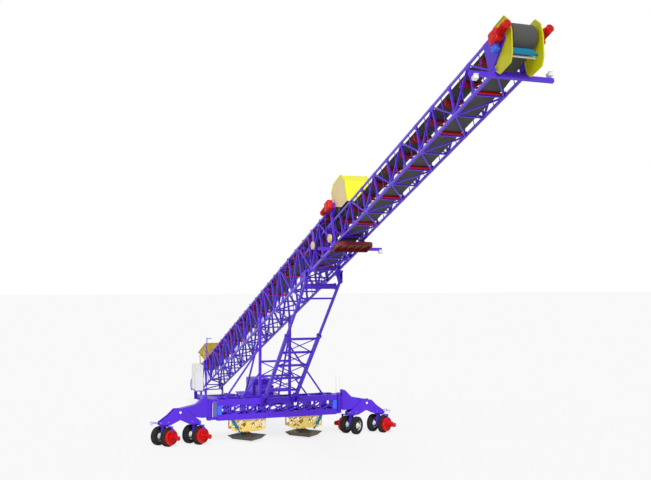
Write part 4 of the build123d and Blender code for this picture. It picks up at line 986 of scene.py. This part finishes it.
class CONVEYOR_OT_stage(bpy.types.Operator):
    """Sets the floor, the lamps, the sky and the camera"""
    bl_idname = "conveyor.stage"
    bl_label = "Set the stage"

    def execute(self, context):
        stage = context.scene.conveyor_stage
        bpy.ops.object.select_all(action="DESELECT")
        bpy.ops.mesh.primitive_plane_add(size=900, location=(0, 0, 0))
        floor = context.object
        floor.name = "studio_floor"
        floor.data.materials.append(floor_finish())
        heading = Vector(stage.camera_heading).normalized()
        look = heading * math.cos(stage.camera_rise) + Vector((0, 0, math.sin(stage.camera_rise)))
        turn = look.to_track_quat("-Z", "Y").to_euler()
        bpy.ops.object.camera_add(location=stage.camera_place, rotation=turn)
        camera = context.object
        camera.data.lens = stage.lens
        camera.data.clip_end = 2000
        context.scene.camera = camera
        for name, strength, aim, spread in (
            ("key_lamp", stage.key_strength, (-0.72, 0.10, -0.62), 14),
            ("fill_lamp", stage.fill_strength, (-0.45, 0.85, -0.30), 40),
        ):
            bpy.ops.object.light_add(type="SUN", rotation=Vector(aim).to_track_quat("-Z", "Y").to_euler())
            lamp = context.object
            lamp.name = name
            lamp.data.energy = strength
            lamp.data.angle = math.radians(spread)
        context.scene.world = studio_sky(stage.sky_strength)
        context.scene.view_settings.view_transform = "Standard"
        return {"FINISHED"}


def seen_directly(nodes, links):
    """One for rays of the camera, of gloss and of glass, and nought for the rest."""
    path = nodes.new("ShaderNodeLightPath")
    total = path.outputs["Is Camera Ray"]
    for ray in ("Is Glossy Ray", "Is Transmission Ray"):
        either = nodes.new("ShaderNodeMath")
        either.operation = "MAXIMUM"
        links.new(total, either.inputs[0])
        links.new(path.outputs[ray], either.inputs[1])
        total = either.outputs["Value"]
    return total


def studio_sky(strength):
    """White backdrop for the camera and a weaker even light for the object."""
    world = bpy.data.worlds.new("studio_sky")
    world.use_nodes = True
    nodes, links = world.node_tree.nodes, world.node_tree.links
    sky = nodes["Background"]
    sky.inputs["Color"].default_value = (1, 1, 1, 1)
    level = nodes.new("ShaderNodeMapRange")
    level.inputs["To Min"].default_value = strength
    level.inputs["To Max"].default_value = 1.0
    links.new(seen_directly(nodes, links), level.inputs["Value"])
    links.new(level.outputs["Result"], sky.inputs["Strength"])
    return world


def floor_finish():
    """Pale floor that keeps a faint shadow and meets the backdrop without an edge."""
    material = bpy.data.materials.new("pale_floor")
    material.use_nodes = True
    nodes, links = material.node_tree.nodes, material.node_tree.links
    nodes.remove(nodes["Principled BSDF"])
    matt = nodes.new("ShaderNodeBsdfDiffuse")
    matt.inputs["Color"].default_value = (0.9, 0.9, 0.9, 1)
    glow = nodes.new("ShaderNodeEmission")
    glow.inputs["Color"].default_value = (1, 1, 1, 1)
    share = nodes.new("ShaderNodeMath")
    share.operation = "MULTIPLY"
    share.inputs[1].default_value = 0.8
    blend = nodes.new("ShaderNodeMixShader")
    links.new(seen_directly(nodes, links), share.inputs[0])
    links.new(share.outputs["Value"], blend.inputs["Fac"])
    links.new(matt.outputs["BSDF"], blend.inputs[1])
    links.new(glow.outputs["Emission"], blend.inputs[2])
    links.new(blend.outputs["Shader"], nodes["Material Output"].inputs["Surface"])
    return material


groups = (
    ("conveyor_sizes", ConveyorSizes),
    ("conveyor_paints", ConveyorPaints),
    ("conveyor_stage", ConveyorStage),
)


class CONVEYOR_PT_panel(bpy.types.Panel):
    """Lists the conveyor's settings and steps"""
    bl_idname = "CONVEYOR_PT_panel"
    bl_label = "Telescopic conveyor"
    bl_space_type = "VIEW_3D"
    bl_region_type = "UI"
    bl_category = "Conveyor"

    def draw(self, context):
        for name, group in groups:
            for setting in group.__annotations__:
                self.layout.prop(getattr(context.scene, name), setting)
        for step in steps:
            self.layout.operator(step.bl_idname)


steps = (
    CONVEYOR_OT_finishes,
    CONVEYOR_OT_wheels,
    CONVEYOR_OT_rolls,
    CONVEYOR_OT_drives,
    CONVEYOR_OT_boxes,
    CONVEYOR_OT_gussets,
    CONVEYOR_OT_webs,
    CONVEYOR_OT_arms,
    CONVEYOR_OT_feet,
    CONVEYOR_OT_covers,
    CONVEYOR_OT_stage,
)
classes = (*[group for name, group in groups], *steps, CONVEYOR_PT_panel)


def register():
    for entry in classes:
        bpy.utils.register_class(entry)
    for name, group in groups:
        setattr(bpy.types.Scene, name, bpy.props.PointerProperty(type=group))


def unregister():
    for name, group in groups:
        delattr(bpy.types.Scene, name)
    for entry in reversed(classes):
        bpy.utils.unregister_class(entry)


def main():
    """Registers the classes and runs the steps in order."""
    register()
    for step in steps:
        group, name = step.bl_idname.split(".")
        getattr(getattr(bpy.ops, group), name)()


if __name__ == "__main__":
    main()
